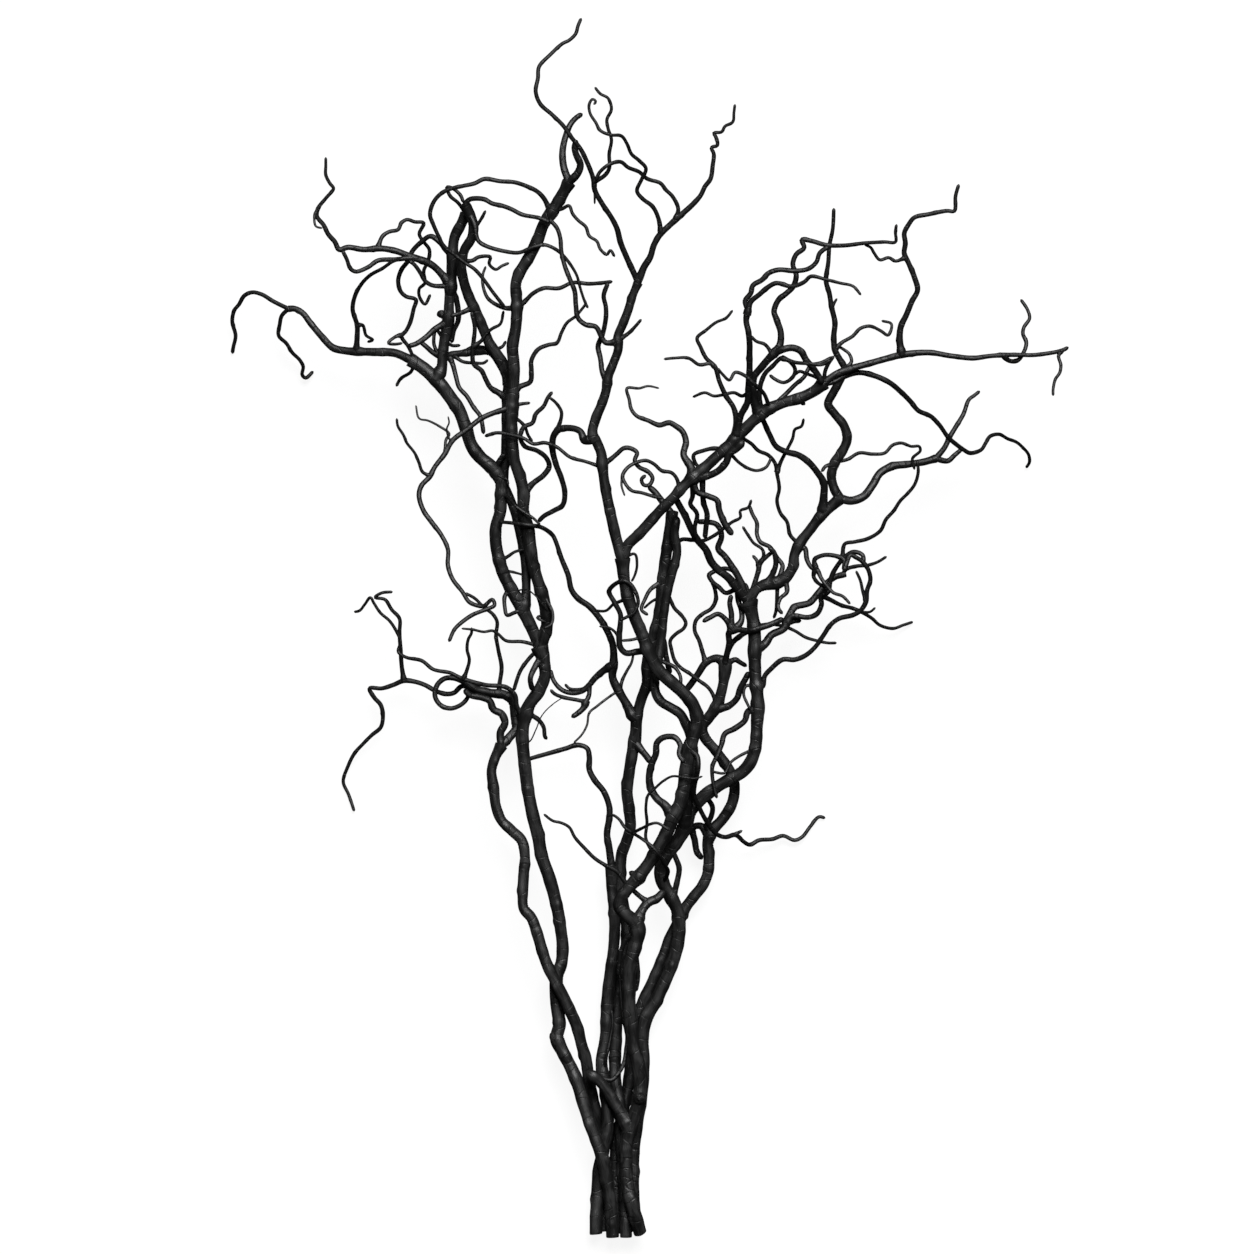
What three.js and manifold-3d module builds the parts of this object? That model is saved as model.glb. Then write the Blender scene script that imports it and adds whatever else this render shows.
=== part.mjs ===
// Curly willow: a loose bunch of seven cut stems, lying on a flat surface with no vase and no tie.
// Millimetres, +Z up. +Y runs from the cut ends to the tips. Each stem grew as one piece, so it is one mesh.
import * as THREE from 'three';
import * as BufferGeometryUtils from 'three/addons/utils/BufferGeometryUtils.js';
import Module from 'manifold-3d';

const wasm = await Module();
wasm.setup();

const BUTT_TO_ORIGIN = [-29.1, -548.3, 0]; // from the gathered cut ends to the middle of the bunch
const SAMPLE_STEP = 1.5; // how closely a centreline is first traced
const TWIG_LEAN = 0.22; // rise or fall of a free twig along its run
const LOWEST_TIP = 4; // a free twig never droops below this height
const CHORD_ERROR = [1, 2]; // how far the straight steps of a thick and of a thin limb may stray
const THICK_LIMB = 3.4;
const THIN_TWIG = 2.1;
const BARK_COLOUR = 0x1b1a1a;

// A limb is its radius at the start and at the tip, the points its centreline passes, and its side shoots.
// A point is [x, y] or [x, y, height]. Heights run evenly between the points that state one.
const limb = (thick, thin, path, ...side) => ({ thick, thin, path, side });

const stems = {
  left_stem: limb(5.8, 5.4, [
    [-4, 0, 20], [-5, 20, 23], [-7, 40, 27], [-10, 58, 31], [-14, 75, 34], [-20, 92, 35], [-26, 108, 35],
    [-31, 124, 34.5], [-36, 140, 34], [-42, 154, 33], [-49, 168, 33], [-54, 180, 33], [-52, 192, 33],
    [-54, 208, 33], [-55, 222, 33], [-54, 236, 33], [-50, 248, 33], [-49, 262, 34], [-51, 280, 36],
    [-55, 302, 38], [-61, 324, 41], [-68, 345, 43], [-71, 362, 45], [-76, 382, 47], [-80, 402, 48],
    [-83, 425, 50], [-85, 447, 52], [-84, 464, 54], [-79, 480, 57], [-70, 493, 60], [-65, 506, 62],
    [-66, 520, 63], [-70, 533, 64]
  ],
    limb(5.3, 4.8, [[-53, 179], [-60, 184]]),
    limb(2.2, 1.9, [[-81, 474], [-77, 471], [-70, 466], [-66, 460], [-65, 452], [-63, 449]]),
    limb(2.3, 1.2, [
      [-84, 468], [-90, 478], [-92, 489, 60], [-100, 496], [-118, 498], [-130, 501, 70], [-142, 505],
      [-150, 509], [-165, 512, 64], [-176, 520], [-190, 523], [-197, 528, 50], [-195, 537], [-199, 547],
      [-205, 556], [-213, 563], [-219, 572], [-222, 577, 60], [-227, 571], [-232, 565], [-237, 564, 46]
    ],
      limb(1.7, 1.4, [
        [-138, 503], [-135, 512], [-133, 521], [-135, 530], [-134, 539], [-131, 545], [-131, 550]
      ]),
    ),
    limb(2.7, 2.4, [[-67, 524], [-74, 514], [-78, 504, 72], [-76, 493, 66]]),
    limb(1.9, 1.7, [[-71, 531], [-80, 521], [-87, 511], [-91, 500], [-93, 493, 58]]),
    limb(1.9, 1, [
      [-70, 533], [-85, 537], [-100, 538], [-107, 544], [-112, 547], [-120, 546], [-130, 548],
      [-140, 549, 84]
    ]),
    limb(5.4, 5.2, [
      [-70, 533], [-74, 543], [-80, 556], [-86, 568], [-94, 582], [-101, 596], [-106, 611], [-109, 626],
      [-109, 640, 77], [-105, 654], [-104.5, 668, 79], [-105, 682], [-110, 691, 80]
    ],
      limb(1.7, 1.3, [[-106, 609], [-98, 614], [-92, 618], [-84, 620]]),
      limb(1.4, 1, [[-104, 601], [-95, 600], [-87, 598], [-82, 596]]),
      limb(1.9, 1.8, [[-97, 586], [-101, 578], [-101, 568], [-99, 561], [-93, 563], [-88, 565]]),
      limb(1.5, 1.3, [
        [-104, 670], [-98, 667], [-91, 659, 100], [-84, 654, 101], [-75, 648, 102], [-69, 642, 102]
      ]),
      limb(1.3, 1.1, [[-111, 686], [-105, 686], [-99, 683], [-98, 678]]),
      limb(4.1, 3.9, [
        [-84, 566], [-82, 580], [-82, 598, 70], [-83, 612], [-86, 628], [-89, 642], [-92, 654, 72],
        [-96, 665], [-101, 677], [-101.5, 690], [-100.5, 704, 76], [-100, 720], [-100, 738, 80],
        [-99.5, 755], [-98.5, 768], [-99, 778, 86]
      ],
        limb(5, 4, [
          [-99, 776], [-103, 788], [-109, 797, 90], [-115, 806], [-120, 818, 94], [-126, 832],
          [-133, 847, 100], [-138, 862], [-140, 878, 108], [-137, 890], [-131, 900, 114], [-129, 910],
          [-132, 921], [-137, 931, 122]
        ],
          limb(2.3, 1.8, [
            [-137, 931], [-132, 935], [-120, 935], [-112, 931], [-103, 929], [-95, 926], [-85, 921],
            [-70, 918], [-60, 914]
          ]),
          limb(2.2, 1.3, [
            [-133, 922], [-128, 912, 124], [-125, 898], [-118, 893], [-100, 888, 126], [-88, 887],
            [-75, 892, 131], [-66, 894], [-57, 891, 130], [-49, 885], [-41, 875], [-36, 866], [-33, 855],
            [-29, 843], [-26, 837, 120]
          ]),
          limb(1.6, 1.4, [[-129, 907], [-123, 916], [-118, 925]]),
          limb(1.9, 1.4, [
            [-139, 879], [-130, 880], [-125, 883], [-117, 884], [-114, 883], [-115, 877], [-109, 872],
            [-104, 875], [-97, 878]
          ]),
          limb(2.2, 1.8, [[-129, 838], [-140, 833], [-150, 830]]),
        ),
        limb(4, 2.2, [
          [-106, 794], [-114, 798], [-125, 798], [-136, 797], [-146, 796], [-158, 794], [-165, 797],
          [-172, 803], [-178, 808]
        ],
          limb(2.2, 1.9, [
            [-152, 795], [-148, 787], [-145, 776], [-142, 766], [-135, 758], [-129, 748], [-123, 740],
            [-121, 731], [-120, 724]
          ]),
          limb(2.1, 1.5, [[-136, 797], [-130, 802], [-120, 802], [-108, 801], [-103, 803], [-100, 808]]),
          limb(1.8, 1.3, [[-148, 796], [-142, 791], [-138, 789], [-128, 788], [-120, 788], [-116, 791]]),
          limb(1.8, 1.5, [[-160, 795], [-165, 806], [-163, 818], [-157, 811], [-149, 804], [-141, 804]]),
        ),
        limb(2.7, 1.7, [
          [-103, 757], [-108, 762], [-114, 766], [-118, 773], [-122, 781], [-129, 787], [-130, 797],
          [-129, 808], [-128, 820], [-131, 834]
        ],
          limb(1.9, 1.3, [[-130, 803], [-122, 808], [-118, 814], [-112, 819], [-105, 823], [-102, 835]]),
        ),
      ),
      limb(2.6, 2.4, [[-111, 690], [-107, 698], [-101, 707, 86]]),
      limb(6.2, 5.6, [
        [-110, 691], [-115, 696], [-124, 704], [-131, 714], [-136, 729], [-142, 745], [-150, 757],
        [-161, 771, 83], [-174, 783], [-186, 791, 80]
      ],
        limb(4.1, 2.5, [
          [-186, 791], [-200, 797], [-222, 798], [-244, 799], [-256, 802], [-266, 812], [-276, 824],
          [-283, 833], [-290, 837], [-296, 837, 44]
        ],
          limb(2, 1.8, [
            [-296, 837], [-310, 844], [-320, 850], [-329, 852], [-336, 849], [-341, 841], [-345, 836],
            [-347, 826], [-344, 813], [-346, 803], [-347, 797, 2.9]
          ]),
          limb(1.9, 1.6, [
            [-296, 837], [-302, 831], [-304, 823], [-305, 813], [-298, 806], [-293, 798], [-286, 791],
            [-283, 785], [-284, 778], [-281, 775], [-274, 781, 3]
          ]),
          limb(2.4, 1.5, [
            [-235, 799], [-234, 812], [-234, 822], [-238, 836], [-236, 848], [-230, 859], [-222, 867],
            [-211, 873], [-202, 879], [-192, 882, 110]
          ],
            limb(1.6, 1.3, [[-234, 822], [-229, 822], [-226, 813], [-220, 809], [-225, 807, 60]]),
          ),
        ),
        limb(4.4, 4.8, [
          [-163, 773], [-158, 783], [-157, 795], [-155, 810, 86], [-152, 826], [-151, 845, 90],
          [-149, 865], [-148, 885, 96], [-146, 901], [-140, 913], [-136, 922, 102]
        ],
          limb(3.4, 1.4, [
            [-150, 858], [-157, 867], [-165, 875], [-174, 880], [-186, 884, 98], [-200, 889], [-214, 891],
            [-228, 890], [-242, 892], [-250, 890, 96], [-254, 897], [-260, 904], [-264, 912], [-270, 920],
            [-269, 927], [-262, 936], [-255, 945], [-258, 949], [-262, 957], [-262, 965], [-262, 973, 110]
          ],
            limb(2.3, 1.8, [
              [-172, 879], [-186, 882], [-200, 881], [-215, 880], [-224, 874], [-235, 870], [-240, 873],
              [-243, 881], [-247, 889]
            ]),
            limb(1.9, 1.5, [
              [-215, 891], [-211, 902], [-205, 906], [-197, 908], [-194, 914], [-189, 917], [-182, 915],
              [-174, 914], [-178, 904], [-174, 897], [-169, 890], [-170, 880], [-174, 871], [-173, 860],
              [-178, 855], [-178, 848], [-173, 841], [-168, 850]
            ]),
            limb(1.3, 1, [[-269, 924], [-272, 921], [-271, 911], [-265, 909]]),
          ),
          limb(2.4, 1.6, [
            [-148, 885], [-153, 889], [-160, 897], [-168, 902], [-176, 897], [-184, 889], [-188, 880],
            [-194, 872], [-197, 862], [-195, 853], [-190, 848], [-181, 845], [-183, 837], [-186, 825],
            [-190, 817], [-194, 812], [-188, 803], [-184, 794], [-183, 787], [-186, 780], [-195, 774],
            [-199, 767]
          ],
            limb(1.6, 1.3, [[-193, 813], [-199, 812], [-206, 806], [-200, 805], [-193, 806]]),
          ),
          limb(2.1, 1.8, [
            [-150, 858], [-160, 857], [-167, 858], [-173, 862], [-177, 869], [-182, 876], [-187, 880]
          ]),
          limb(3.7, 4, [[-151, 829], [-158, 832], [-162, 831]]),
          limb(2.8, 2.2, [[-152, 824], [-163, 819], [-172, 811], [-181, 805], [-188, 803]]),
          limb(2.6, 2.2, [[-150, 857], [-145, 846], [-143, 836], [-143, 826], [-147, 817], [-149, 806]]),
          limb(1.7, 1.7, [
            [-136, 922], [-143, 932], [-150, 938], [-153, 946], [-148, 945], [-141, 939], [-138, 932]
          ]),
        ),
      ),
    ),
    limb(5.5, 5.1, [
      [-69, 530], [-66, 541], [-63, 553, 72], [-65, 570], [-70, 588, 82], [-75, 605, 84], [-78, 622, 88],
      [-80, 640, 90], [-84, 655, 92], [-84, 670, 94], [-87, 685, 96], [-92, 700], [-94, 715, 100],
      [-95, 735], [-94, 755, 104], [-93, 772], [-93, 787, 108], [-94, 802], [-91, 820, 112], [-90, 840],
      [-91, 858, 116], [-88, 868], [-79, 883, 120], [-71, 899], [-66, 912, 126], [-57, 926], [-48, 941],
      [-43, 950, 134]
    ],
      limb(3.6, 2.8, [[-43, 950], [-35, 959], [-33, 966], [-37, 976], [-38, 982], [-36, 988]]),
      limb(3.5, 2.3, [
        [-43, 950], [-48, 964], [-49, 978], [-46, 992], [-42, 1002], [-37, 1008], [-31, 1012]
      ]),
      limb(2.2, 1.6, [
        [-58, 922], [-66, 936], [-72, 942], [-80, 946], [-92, 950, 140], [-105, 951], [-119, 953],
        [-128, 949], [-137, 947, 142], [-150, 944], [-158, 940], [-165, 932], [-168, 921, 136],
        [-165, 912], [-160, 901], [-155, 892], [-147, 886, 128], [-137, 878], [-128, 872],
        [-120, 863, 124], [-112, 852], [-105, 843], [-101, 838, 118]
      ]),
      limb(1.7, 1.4, [
        [-57, 924], [-50, 926], [-43, 929, 134], [-40, 922], [-35, 916], [-28, 910], [-25, 902],
        [-18, 897], [-15, 890], [-9, 885], [-6, 889], [-2, 883, 140]
      ]),
      limb(2.1, 1.7, [
        [-90, 838], [-84, 842], [-76, 850], [-66, 855, 119], [-52, 855], [-40, 860, 117], [-25, 859, 119],
        [-12, 860], [-4, 861, 124]
      ]),
      limb(2.3, 1.1, [
        [-90, 838], [-98, 837], [-108, 840], [-116, 846], [-120, 855], [-121, 866], [-118, 875]
      ]),
      limb(2.5, 1.3, [
        [-94, 758], [-88, 766], [-78, 771], [-77, 781, 108], [-77, 790], [-71, 800], [-62, 804],
        [-54, 806, 112], [-50, 815], [-45, 824], [-37, 830], [-31, 837], [-28, 841, 116]
      ]),
      limb(2.6, 1.8, [
        [-84, 670], [-75, 680], [-66, 687], [-61, 695, 98], [-64, 703], [-72, 709], [-83, 713, 106],
        [-87, 721, 108], [-84, 730], [-76, 734], [-73, 742], [-66, 749], [-62, 757], [-58, 762, 112]
      ]),
      limb(1.7, 1.3, [[-68, 582], [-62, 572], [-58, 563], [-59, 553], [-66, 549]]),
      limb(1.6, 1.4, [[-95, 741], [-88, 736], [-83, 731], [-80, 723], [-76, 717]]),
      limb(1.3, 1.2, [[-80, 559], [-72, 559], [-65, 555]]),
      limb(1.7, 1.4, [[-94, 749], [-86, 751], [-78, 752]]),
      limb(2.5, 1.8, [
        [-94, 748], [-108, 744], [-122, 738], [-135, 728], [-148, 718], [-155, 706], [-164, 694],
        [-168, 686], [-176, 677], [-178, 668], [-174, 655], [-167, 645], [-158, 633], [-152, 620],
        [-152, 606], [-148, 594], [-139, 582], [-133, 573], [-127, 570], [-120, 569], [-112, 575],
        [-110, 570], [-118, 566], [-130, 561], [-140, 554], [-146, 548], [-151, 537]
      ],
        limb(1.5, 1.3, [
          [-168, 686], [-175, 690], [-178, 698], [-182, 707], [-189, 716], [-192, 723], [-197, 731],
          [-198, 738]
        ]),
        limb(1.5, 0.8, [
          [-155, 707], [-154, 718], [-151, 724], [-160, 731], [-170, 736], [-178, 738], [-181, 750]
        ]),
      ),
    ),
  ),
  outer_left_stem: limb(5.5, 4.6, [
    [-12, 5, 6.1], [-12.5, 30, 6.1], [-12.5, 55, 7], [-13, 80, 7], [-15, 98, 9.5], [-19, 113, 14.3],
    [-23, 130, 19.6], [-26, 147, 27], [-28, 160, 32], [-32, 174, 36], [-36, 190, 40], [-42, 204, 44],
    [-48, 217, 47], [-55, 230, 49], [-62, 244, 50], [-67, 258, 50], [-72, 275, 50], [-77, 288, 50],
    [-84, 297, 50], [-85, 310, 50], [-84, 328, 50], [-83, 345, 50], [-86, 358, 50], [-95, 367, 50],
    [-104, 376, 50], [-109, 389, 50], [-111, 405, 50], [-113, 421, 50], [-110, 432, 50], [-104, 444, 50]
  ],
    limb(4, 4.2, [
      [-104, 444], [-97, 451], [-91, 459, 44], [-92, 470, 43], [-94, 483, 44], [-101, 489],
      [-115, 491, 48], [-127, 494], [-136, 500, 52]
    ],
      limb(2.5, 2, [
        [-136, 500], [-146, 504], [-155, 504, 56], [-162, 498], [-164, 488], [-159, 480], [-150, 477, 57],
        [-141, 480], [-135, 486], [-134, 492, 46]
      ]),
      limb(2.4, 1.5, [
        [-130, 496], [-140, 497, 46], [-147, 491], [-155, 490], [-164, 493], [-173, 498, 40], [-182, 501],
        [-192, 502, 36], [-202, 498], [-212, 495], [-223, 495, 27], [-219, 487], [-213, 480],
        [-211, 470, 21], [-213, 460], [-221, 453], [-229, 445], [-237, 436], [-243, 424], [-247, 411, 3],
        [-242, 399, 2.6], [-237, 384, 4]
      ],
        limb(2.1, 1.4, [
          [-192, 502], [-194, 515], [-195, 530], [-196, 545], [-196, 558], [-203, 566], [-209, 575],
          [-218, 577], [-212, 581], [-202, 582]
        ]),
      ),
      limb(2, 1.5, [
        [-106, 489], [-106, 498], [-104, 514], [-107, 530], [-109, 543], [-108, 555], [-112, 562],
        [-120, 568], [-128, 576], [-137, 581]
      ]),
    ),
    limb(3.9, 2.7, [
      [-104, 444], [-105, 455], [-101, 464], [-104, 472], [-111, 476], [-115, 484], [-122, 487],
      [-132, 489], [-138, 494, 57]
    ]),
  ),
  centre_left_stem: limb(6, 5, [
    [-19, 3, 16], [-18, 30, 17], [-16, 58, 18.5], [-12.2, 80, 20.5], [-8.8, 96, 23], [-7.8, 112, 24.2],
    [-10, 130, 23.2], [-13, 146, 21.5], [-14, 160, 22], [-11, 176, 22], [-9.6, 192, 23], [-9.2, 208, 23],
    [-7.6, 225, 24], [-5.4, 243, 25], [-3, 262, 26], [-2, 282, 27], [-3, 300, 27], [-5, 318, 28],
    [-5, 335, 30]
  ],
    limb(3.4, 1.9, [
      [-5, 335], [-7, 350], [-9, 364], [-7, 378], [-7, 388], [-12, 402], [-20, 412], [-25, 422],
      [-25, 433], [-27, 441, 44], [-36, 444], [-46, 441], [-60, 437], [-74, 433], [-82, 430.5, 39]
    ]),
    limb(1.4, 1, [[-10, 148], [-9, 165, 31], [-6, 180, 31], [-4, 195], [-5, 205, 31]]),
  ),
  front_stem: limb(6.2, 5.5, [
    [21, 4, 22], [17, 18, 29], [12, 33, 31.5], [9, 50, 31], [8, 65, 32], [8, 80, 33], [11, 96, 35],
    [16, 110, 38], [20, 125, 41], [21, 140, 43], [19, 156, 46], [15, 172, 48], [13, 190, 51],
    [11, 210, 54], [11, 230, 57], [12, 248, 60], [16, 262, 62], [19, 274, 64], [17, 284, 66], [9, 291, 69],
    [2, 299, 71], [4, 307, 72], [10, 315, 73], [18, 324, 74], [28, 337, 76], [36, 350, 78], [44, 364, 80],
    [50, 378, 82], [57, 392, 84], [60, 406, 86], [62, 424, 88], [65, 440, 90], [69, 453, 92],
    [72, 466, 94], [69, 479, 97], [61, 490, 100], [50, 500, 103], [38, 511, 106], [30, 525, 109],
    [23, 543, 112], [15, 562, 114], [9, 580, 116], [6, 597, 118], [5, 612, 120]
  ],
    limb(6.4, 5.8, [[20, 125], [20.5, 127, 53]]),
    limb(5.1, 4.8, [[11, 97], [5, 110], [-3, 123], [-10, 134], [-18, 143], [-27, 149, 44]],
      limb(2.1, 1.4, [
        [-20, 145], [-12, 143], [-5, 142], [1, 148], [6, 157], [8, 168, 36], [9, 182, 34], [6, 196],
        [4, 210], [3, 225], [2, 240], [0, 250, 34]
      ]),
    ),
    limb(2.4, 1.7, [[17, 277], [9, 270], [4, 260], [2, 248], [1, 236, 50]]),
    limb(2.2, 1.8, [[16, 262], [18, 248], [19, 236], [17, 222, 50]]),
    limb(4.2, 3.5, [[18, 283], [23, 296], [28, 302, 62], [36, 306], [43, 313, 60]],
      limb(2.2, 1.2, [
        [28, 302], [18, 310, 61], [8, 320], [0, 330], [-9, 335], [-20, 342], [-30, 352], [-38, 361],
        [-43, 370], [-50, 374], [-58, 376], [-66, 382]
      ]),
    ),
    limb(3.1, 2.8, [[18, 326], [11, 330]]),
    limb(3.9, 2.3, [
      [50, 380], [43, 390], [36, 396], [31, 404, 74], [29, 414], [31, 426], [35, 436], [36, 446],
      [42, 451], [52, 451], [57, 444], [56, 436], [61, 428]
    ]),
    limb(1.7, 0.9, [
      [33, 346], [26, 360, 77], [27, 374, 78], [26, 388, 84], [28, 399], [34, 405], [42, 412],
      [50, 416, 92], [60, 415, 96], [70, 414, 96], [77, 416]
    ]),
    limb(2.5, 1.6, [
      [60, 444], [66, 440, 92], [72, 434], [73, 424, 94], [70, 410], [69, 400], [73, 390, 66], [78, 380],
      [84, 370], [91, 363, 44], [98, 361], [106, 363], [110, 361], [114, 357], [120, 354, 20], [128, 358],
      [140, 359], [150, 362, 8], [160, 358], [167, 361], [174, 370], [182, 379], [188, 378, 2.6]
    ],
      limb(1.5, 1.3, [[106, 363], [113, 367]]),
    ),
    limb(1.4, 1.1, [[11, 624], [16, 616], [18, 606], [16, 597], [13, 591]]),
    limb(3, 1.4, [
      [27, 530], [18, 528, 100], [8, 527], [3, 532], [2, 541], [3, 553], [3, 562], [-2, 572],
      [-7, 582, 112], [-3, 588], [6, 592, 124], [12, 589], [17, 581], [19, 572], [15, 563, 122], [8, 559],
      [2, 556, 120]
    ],
      limb(1.3, 1.1, [[2, 541], [-3, 547], [-8, 550], [-16, 551]]),
    ),
    limb(1.7, 1.2, [[9, 578], [4, 574], [-3, 571], [-10, 565], [-20, 565, 100]]),
    limb(1.5, 1.3, [[24, 542], [14, 539], [4, 538]]),
    limb(5.3, 3.6, [
      [5, 612], [0, 628], [-4, 645], [-8, 663], [-11, 680], [-13, 695], [-14, 706], [-18, 716], [-22, 724],
      [-19, 738], [-14, 750], [-10, 762], [-8, 775, 140], [-3, 788], [1, 800], [1, 812], [5, 822],
      [10, 835], [14, 848], [19, 860, 147]
    ],
      limb(2.7, 1.6, [
        [19, 862], [13, 873], [8, 884], [3, 896, 158], [0, 908], [-5, 918], [-13, 930], [-20, 943, 174],
        [-21, 952], [-27, 968], [-33, 980], [-41, 990, 187], [-48, 1000], [-58, 1010], [-69, 1020],
        [-73, 1031, 195], [-71, 1043], [-70, 1053], [-60, 1064], [-49, 1074], [-43, 1077], [-37, 1083],
        [-35, 1090], [-32, 1097, 188]
      ],
        limb(1.9, 1.4, [
          [-21, 950], [-12, 955], [-7, 962], [-7, 975], [-5, 988], [-8, 998], [-9, 1006], [-5, 1015],
          [-8, 1025], [-15, 1029], [-20, 1035, 190]
        ]),
        limb(1.1, 0.9, [[-20, 943], [-20, 930]]),
      ),
      limb(3.3, 1.3, [
        [19, 862], [24, 873], [30, 883], [33, 893, 153], [38, 902], [47, 911], [58, 921], [68, 930],
        [75, 938], [79, 946], [84, 953], [86, 965], [87, 975], [85, 981], [90, 983], [89, 990], [87, 994],
        [94, 995], [97, 1000], [104, 1004], [105, 1012], [106, 1020, 170]
      ],
        limb(2, 1.7, [
          [52, 917], [55, 926], [50, 937], [44, 943], [39, 949], [27, 953, 167], [20, 959], [10, 963],
          [3, 968], [-8, 965, 187], [-16, 958], [-19, 951, 185]
        ]),
        limb(2.1, 1.3, [
          [39, 904], [37, 918], [32, 928], [23, 935], [18, 942], [22, 952, 172], [26, 962], [20, 969],
          [13, 975], [9, 984], [4, 991], [-6, 992, 200], [-15, 996], [-19, 1003], [-24, 1011], [-25, 1019],
          [-22, 1024], [-19, 1022], [-21, 1019, 200]
        ]),
      ),
      limb(1.7, 1.7, [
        [-14, 694], [-28, 699], [-42, 703], [-54, 712, 120], [-65, 716], [-75, 715], [-84, 720],
        [-95, 723, 112], [-108, 725], [-119, 722, 108]
      ]),
      limb(2.5, 1.9, [
        [0, 807], [-10, 806], [-14, 811], [-19, 820], [-28, 822], [-35, 828], [-37, 840], [-38, 852],
        [-42, 862, 148], [-47, 875], [-50, 888], [-51, 900], [-54, 909], [-61, 917, 144]
      ]),
      limb(2.4, 2.1, [
        [-8, 772], [-13, 779], [-15, 792], [-17, 803, 135], [-13, 813], [-10, 828, 144], [-10, 838],
        [-12, 848], [-8, 860, 150]
      ]),
      limb(3.4, 2, [
        [-22, 720], [-29, 718], [-33, 726], [-40, 729], [-52, 728], [-57, 722], [-58, 710, 110],
        [-55, 697], [-50, 684], [-47, 671, 100], [-49, 660], [-57, 655], [-66, 650], [-71, 645, 88]
      ],
        limb(1.9, 1.4, [[-55, 725], [-51, 735], [-50, 744], [-55, 752], [-61, 757, 126]]),
      ),
      limb(2, 1.4, [[2, 808], [10, 814], [16, 820], [22, 827]]),
      limb(2.2, 1.8, [
        [-12, 697], [-6, 701], [0, 706], [6, 711], [12, 711], [18, 707], [16, 700], [20, 694], [28, 690],
        [32, 684], [29, 678], [24, 678], [22, 683], [26, 687, 138]
      ]),
    ),
    limb(4.8, 4.8, [
      [5, 612], [10, 624], [20, 634], [30, 645], [40, 656], [50, 666, 130], [62, 679], [75, 690],
      [88, 702], [100, 713, 138], [112, 725], [124, 737], [136, 746], [150, 752], [164, 756, 148],
      [178, 763], [186, 770, 151]
    ],
      limb(3.4, 1.7, [
        [186, 770], [196, 777], [208, 782], [226, 787], [244, 792], [256, 795, 150], [280, 797],
        [300, 794], [320, 792, 144], [336, 794], [356, 795], [376, 795], [400, 799], [406, 802, 128]
      ],
        limb(2.9, 1.7, [
          [256, 795], [254, 808], [255, 820], [260, 831], [265, 843], [270, 853, 160], [267, 865],
          [262, 877], [258, 886], [259, 895], [258, 904], [262, 912], [267, 918, 172], [280, 921],
          [296, 924], [303, 924], [304, 937], [307, 948, 176]
        ],
          limb(1.6, 1.4, [
            [258, 882], [250, 879], [244, 882], [236, 880], [231, 886], [228, 891], [222, 894]
          ]),
        ),
        limb(2.1, 1.5, [
          [348, 794], [352, 790], [360, 790, 131], [366, 798, 130], [368, 806], [365, 814], [366, 820],
          [371, 828], [369, 836], [363, 845]
        ]),
        limb(1.6, 1.4, [
          [400, 799], [397, 794], [399, 786], [398, 779], [394, 773], [392, 764], [392, 758]
        ]),
      ),
      limb(2.8, 1.4, [
        [184, 768], [195, 771], [205, 776], [218, 779], [232, 776], [245, 770, 135], [256, 761],
        [264, 753], [271, 745], [282, 740], [290, 732], [298, 721, 95], [305, 715], [312, 710], [318, 707],
        [328, 710], [332, 716], [336, 722], [344, 724, 50], [352, 720], [360, 717], [366, 712], [371, 706],
        [372, 699, 8], [369, 694, 2.3]
      ]),
      limb(3.6, 2.8, [
        [127, 741], [124, 752], [122, 765], [123, 775], [130, 784], [137, 792], [143, 797],
        [150, 800, 168], [158, 801], [165, 798], [170, 790], [176, 783], [181, 776], [185, 769, 158]
      ],
        limb(3, 1.5, [
          [140, 795], [146, 803], [147, 815], [143, 827], [141, 834], [145, 844], [152, 850], [158, 856],
          [161, 866], [158, 876], [161, 885], [168, 891], [166, 898], [175, 897], [185, 894],
          [191, 893, 172], [205, 893], [222, 895], [240, 896], [250, 896], [250, 905], [251, 912]
        ]),
        limb(1.8, 1.3, [
          [122, 765], [113, 758], [105, 761, 139], [95, 759, 138], [87, 758], [79, 761], [68, 757]
        ]),
        limb(1.7, 1.4, [[140, 795], [133, 804], [125, 807], [120, 812]]),
      ),
      limb(2.5, 1.5, [
        [130, 743], [128, 755], [129, 768], [133, 778], [140, 785], [148, 792, 160], [155, 789],
        [160, 782], [158, 775], [150, 770], [142, 773], [137, 777, 150]
      ],
        limb(1.8, 1.5, [[148, 791], [160, 788], [172, 787, 170], [184, 786], [192, 790, 173]]),
      ),
      limb(3.3, 2, [
        [106, 720], [111, 740], [117, 752], [118, 765], [119, 780], [119, 795], [119, 805],
        [118, 815, 180], [116, 825], [117, 835], [115, 843], [120, 850], [122, 857], [130, 862],
        [136, 868], [145, 871], [160, 870], [172, 872], [179, 878], [182, 886], [190, 892, 190]
      ],
        limb(2.6, 1.3, [
          [117, 830], [120, 842], [128, 849], [135, 855], [143, 859], [157, 856], [168, 860], [174, 865],
          [188, 862], [200, 859], [212, 856], [219, 848]
        ]),
      ),
      limb(2.8, 1.3, [
        [104, 718], [107, 735], [105, 747], [98, 758], [92, 771], [88, 784, 150], [80, 792], [75, 802],
        [72, 810], [80, 817], [89, 824], [98, 828], [104, 835, 160]
      ],
        limb(1.7, 1.3, [[88, 784], [84, 787], [74, 786], [64, 792], [52, 792], [42, 791]]),
      ),
      limb(1.9, 1.4, [
        [137, 748], [132, 760], [124, 768, 172], [115, 776], [106, 779], [101, 772], [95, 777], [90, 783]
      ]),
      limb(2.1, 1.9, [[138, 748], [150, 758], [160, 768], [168, 775], [174, 785], [184, 788], [194, 793]]),
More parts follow.
